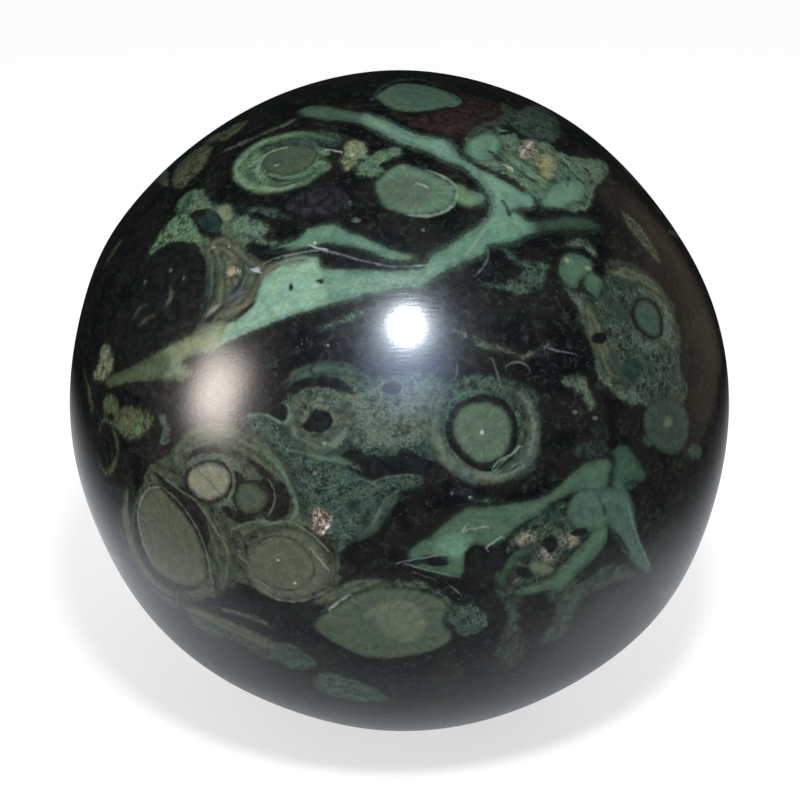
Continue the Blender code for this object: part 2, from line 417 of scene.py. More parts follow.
# Ovals: layer, colour, middle and half-sizes in pixels, and how far it is turned in degrees
OVALS = {
    "left orb's core": ("orb", ORB_GREEN, (290, 160), (27, 15), 15),
    "crumb eye": ("black", NEAR_BLACK, (393, 388), (10, 7), 0),
    "grey orb": ("orb", PALE_ORB, (209, 481), (20, 19), 0),
    "grey orb's ring": ("black", WARM_BLACK, (209, 481), (24, 23), 0),
    "grey orb's rim": ("moss", GREY_MOSS, (209, 481), (29, 28), 0),
    "rim orb": ("orb", DARK_MOSS, (667, 425), (22, 30), 5),
    "rim orb's blob": ("moss", MOSS, (650, 438), (7, 8), 0),
    "small rim blob": ("moss", MOSS, (695, 452), (7, 7), 0),
    "low blob": ("moss", DEEP_GREEN, (508, 651), (12, 12), 0),
    "fleck in the large band": ("black", NEAR_BLACK, (291, 287), (3, 5), 0),
    "second fleck in the large band": ("black", NEAR_BLACK, (320, 281), (4, 2), 0),
    "bottom orb's inclusion": ("black", DEEP_GREEN, (333, 627), (13, 7), 10),
    "bottom orb's dark spot": ("black", NEAR_BLACK, (425, 629), (4, 3), 0),
    "right orb's core": ("orb", ORB_SAGE, (405, 192), (26, 14), -5),
    "small eye's pale disc": ("moss", GREY_MOSS, (318, 418), (30, 27), 0),
    "small eye's dark blob": ("black", NEAR_BLACK, (319, 421), (14, 11), 15),
    "small eye's dark lobe": ("black", NEAR_BLACK, (310, 426), (8, 6), -20),
    "target orb's black ring": ("black", NEAR_BLACK, (483, 432), (38, 37), 0),
    "target orb's core": ("orb", ORB_SAGE, (483, 431), (30, 29), 0),
    "second orb": ("orb", OLIVE_GREY, (251, 498), (16, 15), 0),
    "second orb's ring": ("black", WARM_BLACK, (253, 498), (20, 19), 0),
    "black at the second orb's right": ("black", WARM_BLACK, (275, 500), (13, 19), -10),
    "large left orb's ring": ("black", WARM_BLACK, (173, 537), (37, 54), 20),
    "middle low orb's skin": ("orb", ORB_OLIVE, (288, 565), (43, 34), 5),
    "right eye's ring": ("black", NEAR_BLACK, (648, 318), (14, 23), 20),
    "right eye's core": ("orb", MOSS, (648, 318), (11, 20), 20),
    "right lower eye": ("black", DARK_TEAL, (632, 368), (11, 11), 0),
    "violet black by the right moss": ("black", NEAR_BLACK, (600, 338), (8, 6), 0),
    "dark lens of the arm": ("black", NEAR_BLACK, (434, 561), (14, 5), -8),
    "dark field of the arm": ("black", NEAR_BLACK, (482, 562), (20, 16), 0),
    "first dark spot of the arm": ("black", DARK_TEAL, (552, 512), (9, 6), -30),
    "second dark spot of the arm": ("black", NEAR_BLACK, (579, 532), (9, 4), 10),
    "third dark spot of the arm": ("black", NEAR_BLACK, (550, 544), (7, 9), 0),
    "fourth dark spot of the arm": ("black", NEAR_BLACK, (524, 572), (9, 6), -25),
    "fifth dark spot of the arm": ("black", DARK_TEAL, (630, 486), (6, 5), 0),
    "oval in the arm": ("orb", ORB_GREY, (541, 568), (12, 7), -5),
    "dark tip by the bottom orb": ("black", DARK_TEAL, (444, 618), (5, 9), 0),
    "dark in the blob by the bottom orb": ("black", DARK_TEAL, (463, 621), (4, 4), 0),
    "pale blob at the upper left": ("mint", PALE_OLIVE, (225, 213), (9, 8), 0),
    "dark spot at the upper left": ("black", NEAR_BLACK, (198, 214), (8, 4), 20),
    "pale patch in the mottled zone": ("olive", PALE_OLIVE, (256, 285), (13, 8), -20),
    "yellow patch in the mottled zone": ("olive", YELLOW_OLIVE, (245, 299), (10, 7), -10),
    "mint part of the upper patch": ("mint", SOFT_MINT, (484, 147), (17, 13), 30),
    "pink part of the upper patch": ("olive", PALE_ORB, (527, 150), (11, 9), 50),
    "yellow part of the upper patch": ("olive", YELLOW_OLIVE, (546, 166), (10, 13), 0),
    "lower part of the upper patch": ("mint", SOFT_MINT, (564, 194), (24, 12), 20),
    "dark blob in the lower lobe": ("black", DARK_TEAL, (354, 504), (8, 6), 0),
    "violet patch in the dark field": ("veil", LILAC_DARK, (318, 202), (34, 13), 5),
    "first pink part of the mottled field": ("olive", PALE_ORB, (526, 538), (8, 4), 20),
    "second pink part of the mottled field": ("olive", PALE_ORB, (569, 540), (8, 4), 0),
    "third pink part of the mottled field": ("olive", PALE_ORB, (546, 556), (5, 6), 0),
}

# Brush strokes: layer, colour, width and path, in pixels. A stroke thins out at both ends.
STROKES = {
    "outer ring of the large left orb": ("moss", DARK_MOSS, 12, (
        (118, 508), (124, 540), (139, 570), (159, 594), (184, 606), (202, 611))),
    "left rim blotch": ("olive", OLIVE, 12, ((104, 268), (112, 254), (122, 240))),
    "left rim long streak": ("olive", OLIVE, 8, ((84, 368), (89, 392), (93, 416))),
    "left rim ellipse": ("olive", OLIVE, 5, (
        (98, 432), (105, 419), (114, 430), (118, 446), (116, 461), (109, 472), (102, 469), (98, 455))),
    "pale streak by the left patch": ("olive", GREY_MOSS, 8, (
        (160, 412), (166, 425), (165, 440), (158, 452))),
    "upper left streak": ("olive", GREY_MOSS, 6, (
        (220, 153), (240, 144), (262, 134), (285, 124), (300, 118))),
    "green line under the large band": ("moss", DIM_MINT, 4, (
        (318, 329), (330, 324), (345, 319), (360, 312), (375, 308))),
    "blue-grey arc by the right blob": ("moss", GREY_MOSS, 8, (
        (564, 245), (580, 242), (590, 248), (596, 257))),
    "blue-grey strip": ("moss", GREY_MOSS, 10, ((563, 284), (578, 300), (584, 318), (592, 337))),
    "right moss, teal arc": ("moss", GREY_MOSS, 12, (
        (594, 348), (602, 370), (614, 387), (630, 398), (646, 404))),
    "right moss, inner arc": ("moss", GREY_MOSS, 8, ((612, 343), (617, 364), (625, 381), (637, 392))),
    "diagonal vein": ("moss", GREY_MOSS, 4, (
        (455, 330), (465, 335), (475, 340), (485, 345), (498, 348), (510, 352), (526, 356), (548, 344))),
    "bluish patch at the right": ("veil", DEEP_GREEN, 16, ((574, 452), (592, 450), (612, 452))),
    "rim above the top orb": ("moss", MOSS, 5, ((372, 100), (384, 86), (402, 80), (420, 80), (440, 85))),
    "bottom orb's skin": ("moss", GREY_MOSS, 5, (
        (322, 612), (336, 600), (352, 592), (372, 586), (395, 584), (420, 586), (440, 594), (452, 606))),
    "streaks left of the bottom": ("moss", GREY_MOSS, 5, ((208, 607), (228, 610), (254, 618), (272, 626))),
    "pale ridge in the moss": ("orb", BRIGHT_MOSS, 5, ((300, 450), (320, 458), (340, 460), (361, 468))),
    "bluish band under the moss": ("moss", MOSS, 8, ((378, 489), (392, 483), (410, 482))),
    "brown of the left orb": ("black", BROWN, 7, ((284, 158), (296, 154), (308, 153))),
    "upper patch, brown line": ("black", BROWN, 4, ((480, 164), (498, 174), (514, 183), (528, 190))),
    "upper patch, vertical crack": ("black", DEEP_GREEN, 4, ((568, 163), (569, 175), (567, 187))),
    "crescent inside the left bands": ("black", WARM_BLACK, 7, (
        (246, 459), (259, 468), (270, 478), (276, 492))),
    "gap between the left orbs": ("black", WARM_BLACK, 12, (
        (222, 507), (232, 514), (244, 519), (258, 522))),
    "black round the second orb": ("black", WARM_BLACK, 8, ((232, 470), (240, 480), (236, 500))),
    "black field under the left orbs": ("black", NEAR_BLACK, 16, (
        (206, 604), (228, 602), (254, 606), (285, 610), (312, 606))),
    "black over the large left orb": ("black", WARM_BLACK, 6, (
        (150, 470), (168, 484), (184, 500), (198, 520))),
    "gap right of the middle low orb": ("black", WARM_BLACK, 5, (
        (300, 524), (316, 534), (328, 546), (336, 560))),
    "lower arc of the left orb": ("black", DEEP_GREEN, 3, ((260, 168), (268, 176), (284, 181), (304, 177))),
    "upper arc of the left orb": ("black", DEEP_GREEN, 3, ((266, 163), (276, 154), (288, 149))),
    "teal streak by the dark orb": ("moss", BAND_TEAL, 6, (
        (207, 256), (209, 272), (208, 288), (203, 308), (198, 318))),
    "first dark streak by it": ("black", DARK_TEAL, 4, ((214, 262), (215, 280), (213, 298), (207, 312))),
    "second dark streak by it": ("black", DARK_TEAL, 4, ((228, 300), (236, 290), (243, 276), (244, 262))),
    "third dark streak by it": ("black", WARM_BLACK, 5, ((200, 326), (210, 318), (220, 308), (228, 302))),
    "fourth dark streak by it": ("black", WARM_BLACK, 4, ((228, 322), (240, 314), (250, 306), (256, 300))),
    "fifth dark streak by it": ("black", NEAR_BLACK, 5, ((248, 248), (262, 252), (280, 250), (296, 246))),
    "violet streak by it": ("orb", LILAC_GREY, 5, ((222, 305), (230, 298), (240, 293), (250, 290))),
    "tan streak by it": ("orb", TAN, 5, ((222, 318), (234, 310), (246, 304), (254, 298))),
    "tan edge of the large band": ("orb", TAN, 3, (
        (258, 284), (264, 274), (274, 267), (290, 262), (306, 260))),
    "white streak by it": ("orb", PALE_GREY, 4, ((206, 316), (214, 309), (220, 304))),
    "olive streak by it": ("olive", PALE_OLIVE, 5, ((222, 250), (224, 268), (220, 286), (216, 300))),
    "first ghost in the dark orb": ("orb", MOSSY_GREY, 5, ((170, 284), (171, 297), (164, 309))),
    "second ghost in the dark orb": ("orb", MOSSY_DARK, 6, ((132, 322), (138, 310), (149, 303))),
    "third ghost in the dark orb": ("orb", MOSSY_DARK, 5, ((138, 327), (148, 318), (158, 314))),
    "teal patch above the dark orb": ("moss", BAND_TEAL, 6, (
        (182, 228), (180, 218), (184, 206), (190, 196))),
    "blue-grey flecks at the upper left": ("moss", MOSS, 7, (
        (240, 208), (258, 210), (276, 214), (292, 220))),
    "streak towards the eyebrow": ("moss", BRIGHT_MOSS, 5, (
        (248, 240), (262, 240), (276, 244), (288, 240))),
    "dark band at the left rim": ("black", NEAR_BLACK, 7, ((104, 384), (101, 400), (98, 420), (96, 445))),
    "black under the strip": ("black", WARM_BLACK, 13, ((122, 388), (140, 388), (160, 390), (186, 390))),
    "black left of the grey orb": ("black", WARM_BLACK, 14, (
        (128, 448), (144, 452), (160, 452), (172, 446))),
    "black over the outer ring": ("black", WARM_BLACK, 12, ((128, 472), (132, 490), (130, 512))),
    "right eye's surround": ("moss", GREY_MOSS, 9, (
        (636, 292), (650, 290), (664, 304), (668, 322), (664, 340), (648, 346), (634, 334))),
    "bright light of the right eye": ("mint", MOSS, 4, (
        (600, 290), (616, 306), (634, 322), (652, 338), (670, 350))),
    "light under the right eye": ("mint", MOSS, 5, ((612, 352), (616, 366), (624, 378), (636, 384))),
    "diagonal streak at the right rim": ("moss", MOSSY_DARK, 20, (
        (622, 212), (634, 226), (648, 244), (660, 262))),
    "inner branch of the arm": ("mint", BAND_TEAL, 8, (
        (500, 584), (507, 570), (514, 558), (526, 551), (537, 547))),
    "mint streak under the arm": ("mint", BAND_TEAL, 7, ((495, 570), (500, 578), (507, 586))),
    "hook under the arm": ("mint", BAND_GREEN, 5, ((456, 575), (462, 566), (466, 556))),
    "dark streak between the branches": ("black", NEAR_BLACK, 9, (
        (608, 530), (612, 544), (604, 560), (590, 574), (576, 584))),
    "dark line by the right branch": ("black", NEAR_BLACK, 4, ((612, 528), (622, 542), (632, 558))),
    "pale crescent over the small eye": ("moss", GREY_MOSS, 7, (
        (284, 384), (296, 375), (312, 370), (330, 369), (348, 374), (360, 384))),
    "first gap over the large left orb": ("black", WARM_BLACK, 4, (
        (146, 476), (160, 487), (174, 499), (187, 511), (198, 525), (207, 542), (213, 562))),
    "second gap over the large left orb": ("black", WARM_BLACK, 3, (
        (158, 460), (174, 472), (190, 485), (206, 500), (218, 520), (228, 542))),
    "third gap over the large left orb": ("black", WARM_BLACK, 4, ((209, 566), (215, 580), (216, 594))),
    "gap left of the middle low orb": ("black", WARM_BLACK, 3, (
        (238, 532), (246, 546), (248, 562), (258, 578))),
    "gap under the middle low orb": ("black", WARM_BLACK, 3, (
        (262, 588), (282, 594), (304, 592), (322, 584))),
    "black round the grey orbs": ("black", WARM_BLACK, 5, ((186, 462), (196, 452), (212, 449), (228, 454))),
    "streaky inclusion of the bottom orb": ("black", DARK_TEAL, 5, (
        (318, 628), (332, 622), (346, 626), (352, 634))),
    "pale swirl of the bottom orb": ("orb", ORB_GREY, 7, ((366, 616), (384, 610), (402, 612), (414, 622))),
    "dark streak of the bluish patch": ("black", DARK_TEAL, 3, ((598, 498), (604, 508), (606, 520))),
    "line to the upper band": ("black", NEAR_BLACK, 3, ((466, 158), (480, 167), (500, 178), (522, 188))),
    "dark in the upper patch": ("black", DARK_TEAL, 4, ((560, 160), (572, 172), (584, 184))),
    "second dark in the upper patch": ("black", DARK_TEAL, 4, ((512, 164), (526, 176), (540, 184))),
    "faint streak under the band": ("moss", MOSS, 6, ((500, 246), (520, 262), (548, 270))),
    "crack by the right lobe": ("black", DARK_TEAL, 3, ((616, 452), (614, 464), (611, 478), (613, 492))),
    "crumb line in the black": ("moss", MOSS, 3, ((466, 497), (478, 500), (490, 500), (502, 500))),
    "grey haze left of the crumbs": ("veil", LILAC_DARK, 8, ((448, 488), (460, 492), (474, 492))),
    "bands left of the right moss": ("banded", OLIVE_GREY, 20, (
        (586, 300), (592, 322), (602, 346), (612, 368), (628, 386))),
    "bands over the right eye": ("banded", OLIVE_GREY, 16, (
        (606, 272), (630, 274), (652, 284), (668, 304))),
    "bands in the upper patch": ("banded", BRIGHT_MOSS, 16, (
        (500, 150), (524, 168), (548, 186), (574, 196))),
    "bands by the bottom orb": ("banded", OLIVE_GREY, 14, ((312, 604), (332, 596), (356, 586), (386, 580))),
    "bands low at the left": ("banded", OLIVE_GREY, 18, (
        (180, 606), (206, 616), (238, 630), (268, 644), (300, 658))),
    "bands under the middle moss": ("banded", MOSS, 14, ((398, 494), (384, 506), (374, 522), (358, 540))),
    "bands over the middle moss": ("banded", MOSS, 12, (
        (286, 392), (300, 378), (326, 368), (352, 372), (372, 382))),
    "dark mark in the upper patch": ("black", DEEP_GREEN, 5, (
        (484, 150), (491, 152), (497, 158), (502, 160))),
    "notch in the upper patch": ("black", NEAR_BLACK, 5, ((496, 134), (506, 133), (518, 131))),
    "mark right of the upper patch": ("black", NEAR_BLACK, 5, ((582, 166), (588, 171), (592, 178))),
    "mark in the upper band": ("black", DEEP_GREEN, 4, ((498, 198), (504, 203), (508, 210), (512, 220))),
    "outer bands of the large left orb": ("banded", ORB_OLIVE, 16, (
        (132, 480), (126, 505), (128, 532), (138, 560), (156, 584), (182, 600))),
    "bands between the left orbs": ("banded", OLIVE_GREY, 26, (
        (156, 470), (182, 484), (204, 508), (218, 538), (224, 566), (222, 592))),
    "bands over the grey orbs": ("banded", OLIVE_GREY, 24, (
        (172, 474), (182, 448), (206, 436), (232, 438), (258, 452), (282, 476), (298, 504))),
    "bands over the middle low orb": ("banded", OLIVE_GREY, 18, (
        (234, 546), (252, 526), (284, 518), (312, 532), (336, 562))),
    "bands of the left orb": ("banded", LEAF, 13, (
        (334, 140), (300, 134), (262, 143), (241, 160), (240, 176), (262, 188), (300, 183), (328, 166))),
    "bands round the target orb": ("banded", GREY_MOSS, 13, (
        (452, 384), (438, 404), (436, 434), (452, 464), (486, 477), (520, 465), (534, 434), (526, 400),
        (500, 386))),
    "bands round the small eye": ("banded", GREY_MOSS, 11, (
        (304, 396), (293, 412), (296, 434), (314, 446), (336, 442), (348, 424), (344, 404))),
}

# Thin lines: colour, width and path, in pixels
LINES = {
    "pale rim of the left orb": (PALE_GREEN, 3, (
        (238, 160), (236, 172), (244, 184), (262, 190), (280, 189), (298, 184))),
    "inner ring of the left orb": (PALE_GREEN, 2, ((258, 174), (262, 160), (273, 151), (292, 146))),
    "white line in the right orb": (LILAC_WHITE, 2, ((415, 182), (428, 187))),
    "rim of the right orb": (PALE_GREEN, 3, (
        (425, 169), (444, 177), (457, 188), (455, 202), (445, 211), (426, 216), (404, 214))),
    "right end of the top orb": (DIM_MINT, 3, ((436, 88), (452, 94), (461, 101), (450, 108))),
    "lilac streak by the left orb": (LILAC_WHITE, 2, ((324, 149), (343, 152))),
    "pink streak in the upper patch": (PINK_WHITE, 3, ((520, 156), (526, 148), (533, 141))),
    "white mark in the upper patch": (PINK_WHITE, 3, ((502, 164), (513, 169))),
    "white line by the join": (PALE_GREEN, 3, ((488, 226), (477, 240), (466, 256))),
    "white line under the eyebrow": (LILAC_GREY, 2, (
        (282, 258), (300, 253), (320, 250), (340, 254), (360, 260), (375, 263), (388, 266), (412, 266))),
    "pale line past the eyebrow": (PALE_GREEN, 2, ((412, 266), (426, 265), (440, 262), (456, 261))),
    "eye-closing arc": (DIM_MINT, 4, ((480, 180), (492, 198), (490, 213), (480, 228), (470, 238))),
    "crystals left of the band": (LILAC_WHITE, 2, ((250, 269), (256, 270), (262, 273))),
    "line under the large band": (PALE_GREEN, 2, ((200, 350), (228, 340), (262, 325), (300, 311))),
    "line in the large band": (PALE_GREEN, 2, ((300, 292), (330, 286), (360, 282), (392, 280), (420, 276))),
    "target orb, outer pale line": (DIM_MINT, 2, (
        (448, 450), (454, 460), (470, 472), (490, 474), (502, 462), (515, 452))),
    "target orb, far line": (DIM_MINT, 2, ((440, 386), (432, 402), (432, 422), (438, 440), (448, 450))),
    "dark line right of the target orb": (NEAR_BLACK, 2, ((498, 473), (510, 470), (521, 464))),
    "vein under the moss": (GREY_MOSS, 1.5, ((364, 491), (372, 483), (384, 478), (402, 475), (420, 476))),
    "left boundary of the moss": (BRIGHT_MOSS, 3, (
        (240, 420), (250, 415), (265, 415), (276, 420), (284, 424), (290, 414), (286, 402))),
    "left arc into the pit": (BRIGHT_MOSS, 3, ((262, 452), (278, 466), (290, 485), (296, 502), (298, 516))),
    "right edge of the lower lobe": (GREY_MOSS, 2, ((400, 490), (386, 499), (379, 512), (368, 530))),
    "streak on the bottom orb": (PALE_GREY, 3, ((328, 610), (340, 601), (350, 594))),
    "arc in the bottom orb": (ORB_GREY, 2, ((404, 604), (412, 606), (419, 613))),
    "second arc in the bottom orb": (ORB_GREY, 2, ((396, 622), (399, 630), (410, 633))),
    "first scratch in the lower right band": (PALE_GREY, 1.5, ((461, 532), (468, 523))),
    "second scratch in the lower right band": (PALE_GREY, 1.5, ((465, 530), (488, 526))),
    "third scratch in the lower right band": (PALE_GREY, 1.5, ((485, 548), (503, 535))),
    "violet vein right of the glare": (LILAC_GREY, 1.5, ((540, 345), (555, 350), (576, 354))),
    "thin arc right of the glare": (GREY_MOSS, 2, ((487, 246), (488, 258), (482, 268), (474, 277))),
    "small arc below the glare": (GREY_MOSS, 2, ((504, 367), (514, 362), (525, 364), (531, 372))),
    "first scratch below the glare": (GREY_MOSS, 1.5, ((457, 361), (457, 372), (454, 381))),
    "second scratch below the glare": (GREY_MOSS, 1.5, ((492, 357), (497, 372), (502, 389))),
    "rim of the large left orb": (PALE_ORB, 3, (
        (160, 487), (149, 489), (141, 500), (138, 517), (144, 545), (156, 569))),
    "arc between the grey orbs": (ORB_GREY, 3, ((220, 454), (231, 469), (234, 485), (228, 501))),
    "arc over the grey orb": (GREY_MOSS, 3, ((190, 446), (206, 436), (225, 435), (241, 440), (252, 448))),
    "band right of the second orb": (ORB_GREY, 4, (
        (262, 465), (278, 473), (288, 484), (294, 497), (296, 511), (290, 521))),
    "olive band right of the second orb": (OLIVE, 4, ((246, 444), (264, 451), (284, 468), (296, 486))),
    "pale band under the second orb": (ORB_GREY, 3, ((229, 531), (248, 523), (270, 521))),
    "line left of the middle low orb": (ORB_GREY, 3, ((240, 556), (250, 566), (262, 581), (272, 591))),
    "line over the middle low orb": (ORB_GREY, 2, (
        (262, 526), (288, 521), (304, 529), (320, 542), (334, 556))),
    "line right of the middle low orb": (PALE_ORB, 2, ((310, 547), (318, 557), (330, 571))),
    "green line under the middle low orb": (ORB_GREY, 3, (
        (256, 586), (275, 598), (296, 601), (316, 596), (331, 588))),
    "right patch ring": (GREY_MOSS, 3, (
        (576, 161), (603, 161), (608, 171), (599, 181), (591, 191), (588, 207))),
    "left orb's dark gap": (DEEP_GREEN, 3, ((256, 180), (276, 186), (300, 180), (318, 170))),
    "pale line into the band's hook": (LILAC_GREY, 1.5, ((394, 564), (410, 560), (428, 557), (442, 554))),
    "pale fringe of the hook": (BLUE_MINT, 1.5, ((404, 563), (424, 569), (446, 574), (460, 577))),
    "first line over the large left orb": (ORB_GREY, 2, (
        (150, 465), (165, 478), (180, 490), (195, 500), (206, 515), (216, 530), (225, 545), (232, 561))),
    "second line over the large left orb": (ORB_GREY, 2, (
        (160, 485), (175, 498), (187, 512), (197, 528), (204, 545), (209, 562), (211, 580))),
    "third line over the large left orb": (ORB_OLIVE, 2, (
        (172, 456), (190, 464), (206, 478), (222, 496), (236, 516))),
    "fourth line over the large left orb": (ORB_GREY, 2, ((206, 549), (213, 586))),
    "line round the middle low orb": (WARM_BLACK, 1.5, (
        (254, 548), (262, 540), (274, 536), (290, 538), (302, 546), (312, 560), (314, 574), (302, 586))),
    "second line round the middle low orb": (WARM_BLACK, 1.5, (
        (248, 556), (254, 572), (268, 584), (286, 590), (304, 588))),
    "rust edge of the large band": (TAN, 1.5, ((262, 264), (276, 258), (292, 254), (306, 252))),
    "white line in the eyebrow gap": (LILAC_WHITE, 1.5, ((308, 244), (318, 248), (328, 249))),
    "pale ring of the left orb": (PALE_GREEN, 4, (
        (263, 182), (257, 172), (260, 160), (270, 152), (286, 147))),
    "scalloped edge of the target orb": (DIM_MINT, 2, ((447, 420), (450, 404), (462, 394), (478, 390))),
    "pale fringe under the target orb": (PALE_GREEN, 2, ((492, 468), (500, 460), (512, 454), (520, 444))),
    "second pale fringe of the target orb": (GREY_MOSS, 2, (
        (450, 448), (456, 456), (464, 468), (476, 474))),
    "violet line at the low middle": (GREY_MOSS, 1.2, ((412, 571), (424, 576), (437, 580))),
    "light line at the low middle": (GREY_MOSS, 1.2, ((449, 585), (456, 590), (463, 597))),
    "line into the right branch": (BLUE_MINT, 3, ((628, 500), (632, 520), (640, 544), (650, 566))),
    "pale arc in the large left orb": (ORB_GREY, 2, ((152, 500), (148, 512), (150, 530), (158, 548))),
    "pale ring by the second orb": (ORB_GREY, 1.5, ((268, 478), (274, 490), (274, 504), (268, 516))),
    "pale curve in the lower right band": (SOFT_MINT, 1.5, (
        (440, 552), (446, 544), (456, 542), (462, 550), (456, 556))),
    "arc round the bottom orb's light": (ORB_GREY, 1.5, ((394, 604), (408, 602), (418, 608))),
    "first vein in the middle moss": (GREY_MOSS, 1.5, (
        (270, 440), (292, 450), (316, 456), (340, 462), (362, 470))),
    "second vein in the middle moss": (GREY_MOSS, 1.5, ((360, 400), (384, 404), (410, 400), (430, 404))),
    "third vein in the middle moss": (GREY_MOSS, 1.5, ((292, 470), (306, 482), (322, 488), (340, 484))),
    "fourth vein in the middle moss": (GREY_MOSS, 1.2, ((524, 388), (532, 404), (534, 424), (530, 446))),
}

# Small specks: colour, middle and half-sizes in pixels
SPECKS = {
    "eyebrow sparkle": (LILAC_WHITE, (315, 243), (2, 2)),
    "pale spot in the left orb": (PALE_GREEN, (277, 165), (3, 2)),
    "pink in the pale blob": (PINK_WHITE, (352, 155), (3, 2)),
    "speck in the dark eye": (GREY_MOSS, (350, 202), (2, 2)),
    "blob in the dark eye": (GREY_MOSS, (356, 220), (4, 3)),
    "second speck in the dark eye": (GREY_MOSS, (433, 232), (3, 2)),
    "third speck in the dark eye": (GREY_MOSS, (423, 230), (2, 2)),
    "middle low orb's first dot": (PINK_WHITE, (278, 560), (1.5, 1.5)),
    "middle low orb's second dot": (PINK_WHITE, (295, 583), (1.5, 1.5)),
    "yellow at the left rim": (OLIVE, (121, 425), (5, 5)),
    "mint at the left rim": (LEAF, (138, 430), (5, 5)),
    "light in the right blob": (PALE_OLIVE, (567, 260), (3, 3)),
    "light in the rim orb": (ORB_GREY, (668, 422), (7, 7)),
    "orange speck": (ORANGE, (232, 271), (6, 5)),
    "crystal by the large band": (LILAC_WHITE, (257, 270), (5, 3)),
    "second crystal by it": (PALE_GREY, (228, 247), (3, 3)),
    "third crystal by it": (PALE_GREY, (214, 247), (3, 2)),
    "red-brown by the pit": (RUST_BROWN, (308, 521), (3, 2)),
    "first dot of the dark orb": (MOSSY_GREY, (145, 282), (3, 3)),
    "second dot of the dark orb": (MOSSY_GREY, (183, 278), (3, 3)),
    "third dot of the dark orb": (MOSSY_GREY, (171, 270), (3, 3)),
    "first grain right of the small eye": (PALE_GREEN, (340, 443), (2, 2)),
    "second grain right of the small eye": (PALE_GREEN, (324, 443), (2, 2)),
    "pink under the small eye": (TAN, (315, 473), (2, 2)),
    "third crumb in the black": (GREY_MOSS, (369, 584), (2, 2)),
    "first grain over the glare": (PALE_GREY, (298, 340), (2, 1.5)),
    "second grain over the glare": (TAN, (309, 339), (2, 2)),
    "third grain over the glare": (PALE_GREY, (326, 338), (2, 2)),
    "fourth grain over the glare": (TAN, (328, 345), (1.5, 1.5)),
    "first crumb at the right": (GREY_MOSS, (575, 412), (3, 2)),
    "second crumb at the right": (GREY_MOSS, (595, 418), (3, 2)),
    "pink by the right lobe": (PALE_ORB, (588, 268), (4, 3)),
    "white star in the target orb": (LILAC_WHITE, (482, 432), (1.8, 2.4)),
    "first crumb in the black": (GREY_MOSS, (452, 493), (1.6, 2)),
    "second crumb in the black": (PALE_GREY, (470, 497), (1.4, 1.2)),
}

# Orbs whose fibres run out from the middle: middle and radius in pixels
FIBROUS_ORBS = {
    "left orb": ((290, 160), 42),
    "right orb": ((415, 191), 38),
    "top orb": ((418, 98), 42),
    "small eye": ((319, 422), 16),
    "target orb": ((483, 430), 34),
    "grey orb": ((209, 481), 22),
    "second orb": ((252, 497), 16),
    "large left orb": ((172, 538), 42),
    "middle low orb": ((281, 562), 32),
    "bottom orb": ((386, 621), 62),
    "rim orb": ((667, 425), 28),
    "right eye": ((648, 318), 22),
}

